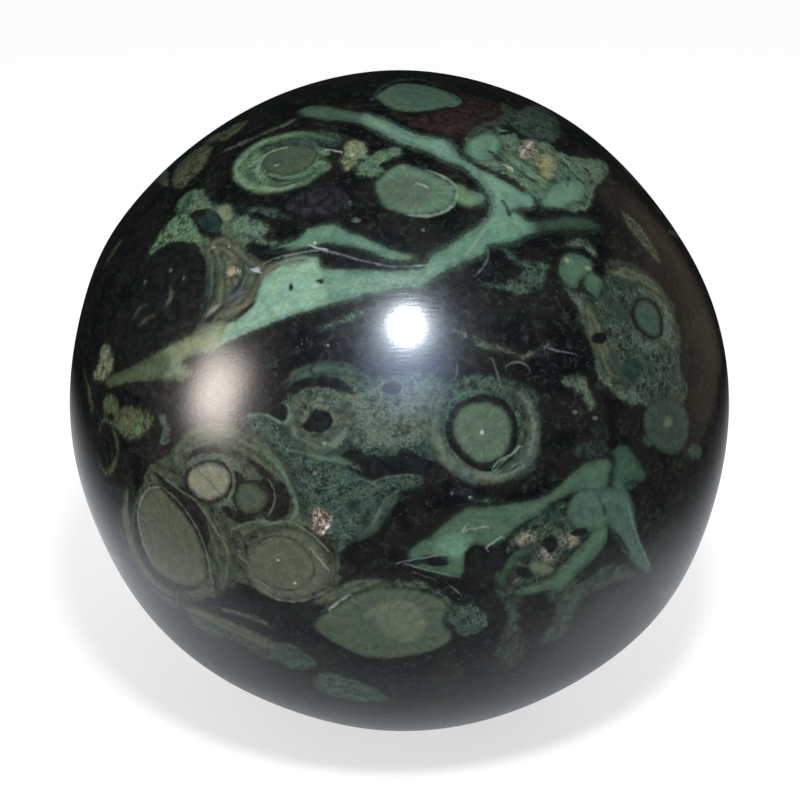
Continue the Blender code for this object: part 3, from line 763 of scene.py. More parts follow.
# The far side's pattern, in millimetres from the point opposite the camera: +X is the viewer's right
# and +Y the viewer's up, so the side's edge, where the camera's side begins, is 47 mm out
FAR_SHAPES = {
    "far large band": ("mint", DIM_MINT, (
        (-52, 5), (-45, 8), (-38, 10), (-30, 15), (-21, 16), (-12, 12), (-4, 11), (5, 14), (14, 20),
        (24, 21), (33, 18), (42, 22), (49, 31), (41, 25), (32, 22), (21, 27), (11, 26), (3, 20), (-5, 16),
        (-13, 18), (-21, 22), (-31, 19), (-40, 13), (-47, 9))),
    "far lower band": ("mint", COOL_MINT, (
        (-30, -26), (-22, -22), (-14, -21), (-6, -24), (2, -29), (11, -31), (20, -28), (28, -22), (30, -25),
        (22, -32), (12, -35), (2, -33), (-7, -28), (-15, -25), (-23, -27))),
    "far small band": ("mint", BAND_GREEN, (
        (20, -4), (26, -8), (33, -9), (40, -7), (50, -10), (41, -10), (35, -13), (27, -14), (22, -9))),
    "far moss round the orbs": ("moss", MOSS, (
        (-24, 4), (-16, 8), (-7, 7), (1, 5), (8, 7), (14, 3), (16, -6), (12, -14), (4, -17), (-5, -15),
        (-12, -18), (-20, -15), (-26, -9), (-28, -2))),
    "far upper moss": ("moss", DARK_MOSS, (
        (-18, 30), (-9, 27), (0, 30), (9, 34), (14, 39), (6, 43), (-6, 42), (-16, 38))),
    "far left moss": ("moss", DARK_MOSS, (
        (-46, -6), (-40, -3), (-35, -8), (-34, -16), (-38, -23), (-44, -20))),
    "far olive patch": ("olive", OLIVE, ((29, 3), (35, 6), (41, 5), (43, 0), (37, -2), (31, -1))),
    "far low olive patch": ("olive", OLIVE, ((-10, -40), (-2, -38), (7, -41), (5, -45), (-6, -45))),
    "far band's lower branch": ("mint", DIM_MINT, (
        (12, 21), (18, 15), (25, 9), (35, 6), (43, 8), (50, 12), (43, 10), (35, 9), (27, 13), (20, 19))),
    "far right moss": ("moss", MOSS, (
        (26, -14), (34, -12), (42, -14), (46, -22), (40, -28), (30, -26), (25, -20))),
    "far upper left moss": ("moss", GREY_MOSS, (
        (-44, 18), (-38, 24), (-40, 34), (-30, 38), (-24, 34), (-28, 26), (-36, 20))),
    "far low left bands": ("banded", OLIVE_GREY, (
        (-44, -26), (-34, -22), (-24, -28), (-12, -32), (-10, -42), (-22, -44), (-34, -38), (-42, -32))),
    "far upper right bands": ("banded", OLIVE_GREY, (
        (16, 30), (26, 28), (38, 30), (40, 38), (28, 42), (16, 40), (12, 34))),
    "far bands round the first orb": ("banded", OLIVE_GREY, (
        (-25, 1), (-18, 6), (-9, 5), (-5, -1), (-9, -8), (-18, -10), (-25, -6))),
    "far mint island": ("mint", COOL_MINT, ((3, 11), (8, 15), (13, 15), (15, 12), (9, 11))),
    "far second mint island": ("mint", LEAF, ((-28, 10), (-23, 13), (-18, 12), (-22, 9))),
    "far dark lens": ("black", NEAR_BLACK, ((-20, 18), (-12, 15), (-5, 14), (3, 17), (-4, 16), (-13, 17))),
    "far dark gap": ("black", NEAR_BLACK, ((-3, 3), (3, 0), (5, -6), (1, -9), (-3, -5))),
}

# Far orbs: middle, half-sizes, turn in degrees, and the colours of the skin and the core
FAR_ORBS = {
    "far first orb": ((-15, -2), (6.2, 5.0), 20, MOSS, ORB_GREY),
    "far second orb": ((8, -5), (5.0, 5.6), 0, GREY_MOSS, ORB_GREEN),
    "far third orb": ((-6, -10), (2.6, 2.4), 0, GREY_MOSS, PALE_ORB),
    "far fourth orb": ((-22, -12), (3.0, 3.4), 10, DARK_MOSS, OLIVE),
    "far upper orb": ((-4, 36), (6.6, 4.0), -8, MOSS, DIM_MINT),
    "far right orb": ((30, 33), (4.4, 3.4), 25, GREY_MOSS, ORB_GREEN),
    "far small orb": ((22, 6), (2.2, 2.0), 0, MOSS, DARK_MOSS),
    "far edge orb": ((-40, -13), (3.6, 4.4), 0, MOSS, ORB_GREEN),
    "far low orb": ((-1, -22), (3.4, 2.6), -10, DARK_MOSS, ORB_GREY),
    "far low right orb": ((17, -19), (5.2, 4.2), 12, MOSS, LEAF),
    "far lowest orb": ((-18, -35), (4.6, 3.6), -15, DARK_MOSS, ORB_GREEN),
    "far left upper orb": ((-34, 27), (5.0, 3.8), -30, GREY_MOSS, LEAF),
    "far low edge orb": ((30, -34), (4.0, 4.8), 20, DARK_MOSS, ORB_GREY),
    "far top orb": ((-17, 42), (3.4, 2.4), 14, GREY_MOSS, LEAF),
    "far small top orb": ((5, 45), (2.2, 1.7), -10, MOSS, DIM_MINT),
}

# Each far orb's layers, and how far each reaches beyond its half-sizes, in millimetres
FAR_ORB_LAYERS = (("moss", 0.9), ("black", 0.3), ("orb", -0.45))

# Far lines: colour, width and path
FAR_LINES = {
    "far line along the band": (PALE_GREEN, 0.25, (
        (-45, 7), (-37, 9), (-29, 14), (-20, 15), (-12, 11), (-4, 10), (6, 13), (14, 19))),
    "far line over the band": (DIM_MINT, 0.2, ((-36, 20), (-26, 24), (-16, 23), (-6, 20))),
    "far arc": (GREY_MOSS, 0.25, ((-27, -10), (-22, -19), (-13, -21), (-5, -17))),
    "far vein": (GREY_MOSS, 0.2, ((12, 8), (18, 12), (27, 11), (34, 13), (43, 11))),
    "far low vein": (DIM_MINT, 0.2, ((-34, -30), (-26, -33), (-12, -30), (-2, -36), (9, -38))),
    "far pale vein": (PALE_GREEN, 0.2, ((2, -10), (8, -13), (15, -12), (21, -15))),
}

# Streaks over the rim, which join the far side to the camera's side: layer, colour, width and path
FAR_STREAKS = {
    "upper right": ("mint", TAIL_GREEN, 2.2, ((45, 34), (43, 30), (40, 26), (34, 22))),
    "upper left": ("moss", GREY_MOSS, 3.2, ((-43, 40), (-38, 36), (-37, 30), (-30, 24))),
    "left": ("olive", OLIVE, 2.4, ((-54, 2), (-49, -2), (-42, 1), (-35, -2))),
    "lower left": ("banded", OLIVE_GREY, 4.0, ((-50, -28), (-45, -25), (-42, -18), (-35, -13))),
    "bottom": ("moss", MOSS, 3.2, ((-12, -54), (-9, -49), (-4, -45), (4, -42))),
    "lower right": ("moss", DARK_MOSS, 3.4, ((47, -34), (43, -31), (38, -24), (32, -20))),
    "top": ("mint", DIM_MINT, 2.2, ((12, 50), (8, 46), (10, 40), (4, 37))),
    "right": ("banded", BRIGHT_MOSS, 3.0, ((49, 2), (45, -1), (40, 2), (33, 0))),
}

# Small streaks strewn over the far side, mostly along its bands, in millimetres and degrees
FAR_PIECES = 70
FAR_SEED = 12
FAR_PIECE_REACH = 43  # from the side's middle
FAR_PIECE_LENGTH = (2.0, 6.5)
FAR_PIECE_WIDTH = (0.5, 2.6)
FAR_PIECE_BEND = 1.8
FAR_PIECE_TURN = (12, 38)  # its mean and its spread
FAR_PIECE_LOOKS = (
    ("moss", DARK_MOSS), ("moss", MOSS), ("moss", GREY_MOSS), ("moss", BRIGHT_MOSS), ("olive", OLIVE),
    ("mint", DIM_MINT), ("mint", BAND_GREEN), ("banded", OLIVE_GREY), ("veil", DEEP_GREEN),
)

# The stone's noises, for its material: features per millimetre, detail and roughness
STONE_NOISES = {
    "mottle": (1.3, 5.0, 0.7),
    "grain": (5.0, 3.0, 0.8),
    "sugar": (4.2, 2.0, 0.7),
    "cloud": (0.28, 2.0),
    "ragged": (2.6, 4.0, 0.7),
    "wander": (0.9, 3.0),
    "blotch": (0.75, 4.0, 0.62),
    "folds": (0.55, 4.0, 0.55),
    # the fine pale specks made from this noise are painted glints of the scratches in the polish
    "dust": (5.5, 1.0),
    "crystals": (3.2, 3.0, 0.7),
}
WANDER_MM = 1.7  # how far the noises push the edges of moss and veils about
RAGGED_MM = 0.8
SLIGHT_PART = 0.33  # the part of that by which the edges of bands, gaps and orbs are pushed
WARMER = (1.20, 1.05, 0.84, 1.0)  # what a tint is multiplied by in the stone's warmer places
BLUER = (0.92, 0.95, 0.94, 1.0)
GLOW_SHADE = 0.45  # how dark a shape's glow is, as a part of its tint
GLOW_REACH_MM = (-0.8, 0.1)  # from where to where over the shape's edge the glow sets in
PALE_GRAIN_SHADE = 1.6
MOSS_GAPS = {"moss": 0.34, "olive": 0.25}  # how dark the gaps between the grains are


def smooth_step(value, low, high):
    part = np.clip((value - low) / (high - low), 0, 1)
    return part * part * (3 - 2 * part)


def linear(colour):
    """A colour from 0 to 255 as the amounts of light that Blender works with."""
    part = np.array(colour) / 255
    return np.where(part < 0.04045, part / 12.92, ((part + 0.055) / 1.055) ** 2.4)


def flat_place(pixel):
    """Where a picture's pixel falls on the ball's unrolled near side, in millimetres."""
    right = pixel[0] - BALL_MIDDLE_PIXEL[0]
    up = BALL_MIDDLE_PIXEL[1] - pixel[1]
    away = max(math.hypot(right, up), 1e-6)
    seen = min(away, RIM_PIXELS)
    slant = math.atan(seen / PIXELS_PER_TANGENT)
    turn = math.asin(min(VIEW_DISTANCE * math.sin(slant) / RADIUS, 1)) - slant
    turn += (away - seen) * BEYOND_RIM_PER_PIXEL
    return (RADIUS_MM * turn * right / away, RADIUS_MM * turn * up / away)


def flat_places(pixels):
    return [flat_place(pixel) for pixel in pixels]


def curve(points, closed):
    """A smooth curve through the points, as short straight pieces."""
    knots = np.array(points, dtype=float)
    if not closed:
        knots = np.vstack((2 * knots[0] - knots[1], knots, 2 * knots[-1] - knots[-2]))
    before, here, after, beyond = (np.roll(knots, shift, axis=0) for shift in (1, 0, -1, -2))
    if not closed:
        before, here, after, beyond = (part[1:-2] for part in (before, here, after, beyond))
    step = (np.arange(CURVE_STEPS) / CURVE_STEPS)[None, :, None]
    before, here, after, beyond = (part[:, None, :] for part in (before, here, after, beyond))
    path = here + 0.5 * step * (after - before)
    path = path + step**2 * (before - 2.5 * here + 2 * after - 0.5 * beyond)
    path = path + step**3 * (1.5 * (here - after) + 0.5 * (beyond - before))
    path = path.reshape(-1, 2)
    return path if closed else np.vstack((path, knots[-2]))


def oval_outline(middle, sizes, turned):
    """Points of an oval that is a little out of round, each oval in its own way."""
    turn = math.radians(turned)
    points = []
    for number in range(OVAL_POINTS):
        angle = 2 * math.pi * number / OVAL_POINTS
        uneven = 1 + OVAL_UNEVEN[0] * math.sin(2 * angle + middle[0])
        uneven += OVAL_UNEVEN[1] * math.sin(3 * angle + middle[1])
        right = sizes[0] * uneven * math.cos(angle)
        up = sizes[1] * uneven * math.sin(angle)
        points.append((
            middle[0] + right * math.cos(turn) - up * math.sin(turn),
            middle[1] + right * math.sin(turn) + up * math.cos(turn),
        ))
    return points


def measure(places, path, closed):
    """Each place's distance to the path, its part of the way along it, and its side, +1 or -1."""
    starts = path if closed else path[:-1]
    spans = (np.roll(path, -1, axis=0) if closed else path[1:]) - starts
    lengths = np.maximum((spans**2).sum(1), 1e-12)
    offsets = places[:, None, :] - starts[None]
    along = np.clip((offsets * spans).sum(2) / lengths, 0, 1)
    gaps = offsets - along[..., None] * spans
    squares = (gaps**2).sum(2)
    nearest = squares.argmin(1)
    every = np.arange(len(places))
    distance = np.sqrt(squares[every, nearest])
    way = (nearest + along[every, nearest]) / len(starts)
    span, offset = spans[nearest], offsets[every, nearest]
    cross = span[:, 0] * offset[:, 1] - span[:, 1] * offset[:, 0]
    return distance, way, np.where(cross < 0, -1.0, 1.0)


def inside(places, path):
    """Which places are inside the closed path."""
    starts = path
    ends = np.roll(path, -1, axis=0)
    x, y = places[:, 0:1], places[:, 1:2]
    spans_y = (starts[:, 1] > y) != (ends[:, 1] > y)
    rise = np.where(ends[:, 1] == starts[:, 1], 1e-12, ends[:, 1] - starts[:, 1])
    crossing = starts[:, 0] + (y - starts[:, 1]) * (ends[:, 0] - starts[:, 0]) / rise
    return (spans_y & (x < crossing)).sum(1) % 2 == 1


def taper(way, ends):
    """The part of a stroke's full width that it has here, falling to nothing at its ends."""
    return np.clip(np.minimum(way, 1 - way) / ends, 0, 1) ** 0.6


def turns_and_headings(directions):
    """How far each direction is turned from the camera's, and which way, right and up."""
    turn = np.arccos(np.clip(directions[:, 2], -1, 1))
    side = np.maximum(np.hypot(directions[:, 0], directions[:, 1]), 1e-9)
    return turn, directions[:, :2] / side[:, None]


class Drawing:
    """What the pattern's shapes and lines are at each point of the ball's mesh.

    Each layer holds the distance in millimetres to the edge of its shapes, positive inside, and a
    colour. Each set of lines holds the distance across the nearest line, its width and its colour.
    """

    def __init__(self, directions):
        turn, heading = turns_and_headings(directions)
        self.near_flat = RADIUS_MM * turn[:, None] * heading
        self.far_flat = RADIUS_MM * (math.pi - turn)[:, None] * heading
        count = len(directions)
        # to begin with each place is far from every shape, line, speck and orb
        self.distances = {name: np.full(count, FAR_MM) for name in LAYERS}
        self.tints = {name: np.tile(linear(NEAR_BLACK), (count, 1)) for name in LAYERS}
        self.across = [np.full(count, 2.0) for _ in range(LINE_SETS)]
        self.widths = [np.full(count, NO_LINE_MM) for _ in range(LINE_SETS)]
        self.line_tints = [np.tile(linear(MOSS), (count, 1)) for _ in range(LINE_SETS)]
        self.taken = [np.zeros(count, bool) for _ in range(LINE_SETS)]
        self.specks = np.tile((0.0, 0.0, 9.0), (count, 1))
        self.speck_tints = np.tile(linear(PALE_GREY), (count, 1))
        self.orb_places = np.tile((1.0, 0.0, 0.0), (count, 1))

    def near_path(self, flat, path, reach):
        low = path.min(0) - reach
        high = path.max(0) + reach
        return np.flatnonzero(((flat > low) & (flat < high)).all(1))

    def fill(self, layer, near, distance, colour, only_tint=False):
        if not only_tint:
            self.distances[layer][near] = np.maximum(self.distances[layer][near], distance)
        cover = smooth_step(distance, *TINT_EDGE_MM)[:, None]
        tints = self.tints[layer]
        tints[near] = tints[near] * (1 - cover) + linear(colour) * cover

    def shape(self, flat, layer, colour, points, only_tint=False):
        path = curve(points, closed=True)
        near = self.near_path(flat, path, -FAR_MM)
        distance, _, _ = measure(flat[near], path, closed=True)
        distance = np.where(inside(flat[near], path), distance, -distance)
        self.fill(layer, near, distance, colour, only_tint)

    def stroke(self, flat, layer, colour, width, points):
        path = curve(points, closed=False)
        near = self.near_path(flat, path, -FAR_MM)
        distance, way, _ = measure(flat[near], path, closed=False)
        self.fill(layer, near, width / 2 * taper(way, STROKE_TAPER) - distance, colour)

    def line(self, flat, colour, width, points):
        """A line goes into the first set that has no other line near it."""
        path = curve(points, closed=False)
        near = self.near_path(flat, path, 2 * LINE_REACH_MM)
        distance, way, side = measure(flat[near], path, closed=False)
        close = distance < 1.5 * LINE_REACH_MM
        near, distance, way, side = near[close], distance[close], way[close], side[close]
        free = [number for number in range(LINE_SETS) if not self.taken[number][near].any()]
        number = free[0] if free else LINE_SETS - 1
        at_end = (way <= 0) | (way >= 1)
        self.taken[number][near] = True
        self.across[number][near] = np.where(at_end, distance, side * distance)
        here = width * taper(way, LINE_TAPER)
        self.widths[number][near] = np.where(distance < LINE_REACH_MM, here, NO_LINE_MM)
        self.line_tints[number][near] = linear(colour)

    def speck(self, flat, colour, middle, sizes):
        offset = flat - np.array(middle)
        near = np.flatnonzero((np.abs(offset) < np.array(sizes) + 2 * LINE_REACH_MM).all(1))
        self.specks[near, :2] = offset[near] / np.array(sizes)
        self.specks[near, 2] = 0
        self.speck_tints[near] = linear(colour)

    def orb_middle(self, flat, middle, radius):
        offset = (flat - np.array(middle)) / radius
        near = np.flatnonzero(np.hypot(offset[:, 0], offset[:, 1]) < ORB_REACH)
        self.orb_places[near, :2] = offset[near]


def draw_near_side(drawing):
    flat = drawing.near_flat
    for layer, colour, outline in SHAPES.values():
        drawing.shape(flat, layer, colour, flat_places(outline))
    for layer, colour, outline in TINTED.values():
        drawing.shape(flat, layer, colour, flat_places(outline), only_tint=True)
    for layer, colour, middle, sizes, turned in OVALS.values():
        # the picture's rows run downwards, so an oval's turn is taken the other way there
        drawing.shape(flat, layer, colour, flat_places(oval_outline(middle, sizes, -turned)))
    for layer, colour, width, path in STROKES.values():
        drawing.stroke(flat, layer, colour, width / PIXELS_PER_MM, flat_places(path))
    for colour, width, path in LINES.values():
        drawing.line(flat, colour, width / PIXELS_PER_MM, flat_places(path))
    for colour, middle, sizes in SPECKS.values():
        drawing.speck(flat, colour, flat_place(middle), [size / PIXELS_PER_MM for size in sizes])
    for middle, radius in FIBROUS_ORBS.values():
        drawing.orb_middle(flat, flat_place(middle), radius / PIXELS_PER_MM)


def strew_far_pieces(drawing):
    chance = random.Random(FAR_SEED)
    for _ in range(FAR_PIECES):
        heading = chance.uniform(0, 2 * math.pi)
        away = FAR_PIECE_REACH * math.sqrt(chance.random())
        middle = np.array((math.cos(heading), math.sin(heading))) * away
        turn = math.radians(chance.gauss(*FAR_PIECE_TURN))
        ahead = np.array((math.cos(turn), math.sin(turn)))
        aside = np.array((-math.sin(turn), math.cos(turn)))
        half = ahead * chance.uniform(*FAR_PIECE_LENGTH) / 2
        bend = aside * chance.uniform(-FAR_PIECE_BEND, FAR_PIECE_BEND)
        width = chance.uniform(*FAR_PIECE_WIDTH)
        layer, colour = chance.choice(FAR_PIECE_LOOKS)
        path = (middle - half, middle + bend, middle + half - bend)
        drawing.stroke(drawing.far_flat, layer, colour, width, path)


def draw_far_side(drawing):
    flat = drawing.far_flat
    for layer, colour, outline in FAR_SHAPES.values():
        drawing.shape(flat, layer, colour, outline)
    for layer, colour, width, path in FAR_STREAKS.values():
        drawing.stroke(flat, layer, colour, width, path)
    strew_far_pieces(drawing)
    for middle, sizes, turned, skin, core in FAR_ORBS.values():
        for (layer, beyond), colour in zip(FAR_ORB_LAYERS, (skin, WARM_BLACK, core)):
            outline = oval_outline(middle, [size + beyond for size in sizes], turned)
            drawing.shape(flat, layer, colour, outline)
        drawing.orb_middle(flat, middle, sum(sizes) / 2)
    for colour, width, path in FAR_LINES.values():
        drawing.line(flat, colour, width, path)


def cube_net():
    """The grid on a cube's six faces: its places, its cells, and each cell corner's texture place."""
    steps = np.arange(CELLS_PER_EDGE + 1)
    ways = 2 * steps - CELLS_PER_EDGE
    places, cells, corners = [], [], []
    size = CELLS_PER_EDGE + 1
    for number, (out, right, up) in enumerate(CUBE_FACES):
        grid = np.array(out)[None, None] * CELLS_PER_EDGE
        grid = grid + np.array(right)[None, None] * ways[None, :, None]
        grid = grid + np.array(up)[None, None] * ways[:, None, None]
        places.append(grid.reshape(-1, 3))
        index = np.arange(size * size).reshape(size, size) + number * size * size
        ring = (index[:-1, :-1], index[:-1, 1:], index[1:, 1:], index[1:, :-1])
        cells.append(np.stack(ring, axis=-1).reshape(-1, 4))
        part = TEXTURE_MARGIN + (1 - 2 * TEXTURE_MARGIN) * steps / CELLS_PER_EDGE
        across, along = np.meshgrid((number % 3 + part) / 3, (number // 3 + part) / 2)
        corners.append(np.stack((across, along), axis=-1).reshape(-1, 2))
    places = np.vstack(places)
    cells = np.vstack(cells)
    corners = np.vstack(corners)[cells.reshape(-1)]
    # places that two faces share become one
    keys = (places + CELLS_PER_EDGE) @ np.array((1, 1000, 1000000))
    _, first, shared = np.unique(keys, return_index=True, return_inverse=True)
    return places[first], shared.reshape(-1)[cells], corners


def ball_directions(places):
    """Unit directions of the cube's grid places in the viewer's axes, drawn in to the near side."""
    directions = np.tan(math.pi / 4 * places / CELLS_PER_EDGE)
    directions /= np.linalg.norm(directions, axis=1)[:, None]
    turn, heading = turns_and_headings(directions)
    drawn = turn - DRAWN_IN * np.sin(turn)
    return np.column_stack((heading * np.sin(drawn)[:, None], np.cos(drawn)))


def surface_distances(directions):
    """How far the stone's surface is from the middle in each direction of the viewer's axes."""
    distances = np.full(len(directions), RADIUS)
    for place, height, width in GROUND_PLACES:
        turn = math.radians(place)
        middle = np.array((math.cos(turn), math.sin(turn), 0))
        away = np.arccos(np.clip(directions @ middle, -1, 1)) / math.radians(width)
        distances += height * np.exp(-(away**2))
    return distances


def pit_hollow(flat):
    """The small crystal-lined pit at each flat place: 1 where it is full depth, 0 outside it."""
    offset = (flat - np.array(flat_place(PIT_PIXEL))) / PIT_SIZE_MM
    away = np.hypot(offset[:, 0] * PIT_STRETCH[0], offset[:, 1] * PIT_STRETCH[1])
    heading = np.arctan2(offset[:, 1], offset[:, 0])
    edge = 1 + PIT_UNEVEN[0] * np.sin(3 * heading + 1) + PIT_UNEVEN[1] * np.sin(7 * heading)
    return smooth_step(edge - away, 0.0, PIT_SLOPE)


def pit_depths(flat):
    """How deep the pit is at each flat place, in metres, with crystals that stand up in it."""
    offset = flat - np.array(flat_place(PIT_PIXEL))
    across, along = CRYSTAL_WAVES
    crystals = 0.5 + 0.5 * np.sin(across * offset[:, 0] + 2) * np.sin(along * offset[:, 1])
    return PIT_DEPTH * pit_hollow(flat) * (1 - CRYSTAL_HEIGHT * crystals)


def ball_points(directions, flat):
    """The stone's surface in the world's axes."""
    distances = surface_distances(directions) - pit_depths(flat)
    offsets = (directions * distances[:, None]) @ np.array((RIGHT, UP, TOWARDS))
    # what would lie under the level facet is drawn up to it
    low = offsets[:, 2] < -MIDDLE.z
    offsets[low] *= (-MIDDLE.z / offsets[low, 2])[:, None]
    return offsets + np.array(MIDDLE)


def add_values(mesh, name, values):
    """One value, place or colour for each point of the mesh, for the material to read."""
    kind, field = ("FLOAT", "value") if values.ndim == 1 else ("FLOAT_VECTOR", "vector")
    if name.endswith("_tint"):
        kind, field = "FLOAT_COLOR", "color"
        values = np.column_stack((values, np.ones(len(values))))
    layer = mesh.attributes.new(name, kind, "POINT")
    layer.data.foreach_set(field, np.asarray(values, dtype=np.float32).ravel())


def jasper_ball():
    places, cells, corners = cube_net()
    directions = ball_directions(places)
    drawing = Drawing(directions)
    draw_near_side(drawing)
    draw_far_side(drawing)
    mesh = bpy.data.meshes.new("kambaba_ball")
    mesh.from_pydata(ball_points(directions, drawing.near_flat).tolist(), [], cells.tolist())
    mesh.shade_smooth()
    texture = mesh.uv_layers.new(name="OFBake")
    texture.data.foreach_set("uv", corners.astype(np.float32).ravel())
    for name in LAYERS:
        add_values(mesh, name + "_distance", drawing.distances[name])
        add_values(mesh, name + "_tint", drawing.tints[name])
    for number in range(LINE_SETS):
        add_values(mesh, f"line_{number}_across", drawing.across[number])
        add_values(mesh, f"line_{number}_width", drawing.widths[number])
        add_values(mesh, f"line_{number}_tint", drawing.line_tints[number])
    add_values(mesh, "speck_place", drawing.specks)
    add_values(mesh, "speck_tint", drawing.speck_tints)
    add_values(mesh, "orb_place", drawing.orb_places)
    add_values(mesh, "pit_hollow", pit_hollow(drawing.near_flat))
    mesh.validate()
    ball = bpy.data.objects.new("kambaba_ball", mesh)
    bpy.context.scene.collection.objects.link(ball)
    return ball


class Nodes:
    """Short ways to add nodes to a material. Each returns the socket that carries the result."""

    def __init__(self, material):
        material.use_nodes = True
        self.tree = material.node_tree
        self.tree.nodes.clear()

    def put(self, socket, value):
        if isinstance(value, bpy.types.NodeSocket):
            self.tree.links.new(value, socket)
        else:
            socket.default_value = value

    def add(self, kind, inputs=(), **settings):
        """A node with these settings and, in their order, these inputs."""
        node = self.tree.nodes.new("ShaderNode" + kind)
        for name, value in settings.items():
            setattr(node, name, value)
        for socket, value in zip(node.inputs, inputs):
            self.put(socket, value)
        return node

    def math(self, operation, *values):
        return self.add("Math", values, operation=operation).outputs[0]

    def times(self, product, *factors):
        for factor in factors:
            product = self.math("MULTIPLY", product, factor)
        return product

    def scale(self, vector, amount):
        node = self.add("VectorMath", (vector,), operation="SCALE")
        self.put(node.inputs["Scale"], amount)
        return node.outputs["Vector"]

    def length(self, vector):
        return self.add("VectorMath", (vector,), operation="LENGTH").outputs["Value"]

    def split(self, vector):
        return self.add("SeparateXYZ", (vector,)).outputs

    def join(self, x, y, z):
        return self.add("CombineXYZ", (x, y, z)).outputs[0]

    def step(self, value, low, high, to_low=0.0, to_high=1.0):
        """A soft step: to_low below low, to_high above high."""
        settings = (value, low, high, to_low, to_high)
        return self.add("MapRange", settings, interpolation_type="SMOOTHSTEP").outputs[0]

    def noise(self, vector, scale, detail=2.0, roughness=0.55):
        node = self.add("TexNoise")
        values = {"Vector": vector, "Scale": scale, "Detail": detail, "Roughness": roughness}
        for name, value in values.items():
            self.put(node.inputs[name], value)
        return node.outputs["Fac"]

    def attribute(self, name, output="Fac"):
        return self.add("Attribute", attribute_name=name).outputs[output]

    def tint(self, name):
        return self.attribute(name + "_tint", "Color")

    def over(self, below, above, cover):
        """The colour above laid over the colour below where cover is 1."""
        node = self.add("Mix", (cover,), data_type="RGBA")
        self.put(node.inputs[6], below)
        self.put(node.inputs[7], above)
        return node.outputs[2]

    def shade_with(self, shader):
        self.put(self.add("OutputMaterial").inputs["Surface"], shader.outputs[0])


def rgba(colour):
    return (*linear(colour), 1.0)


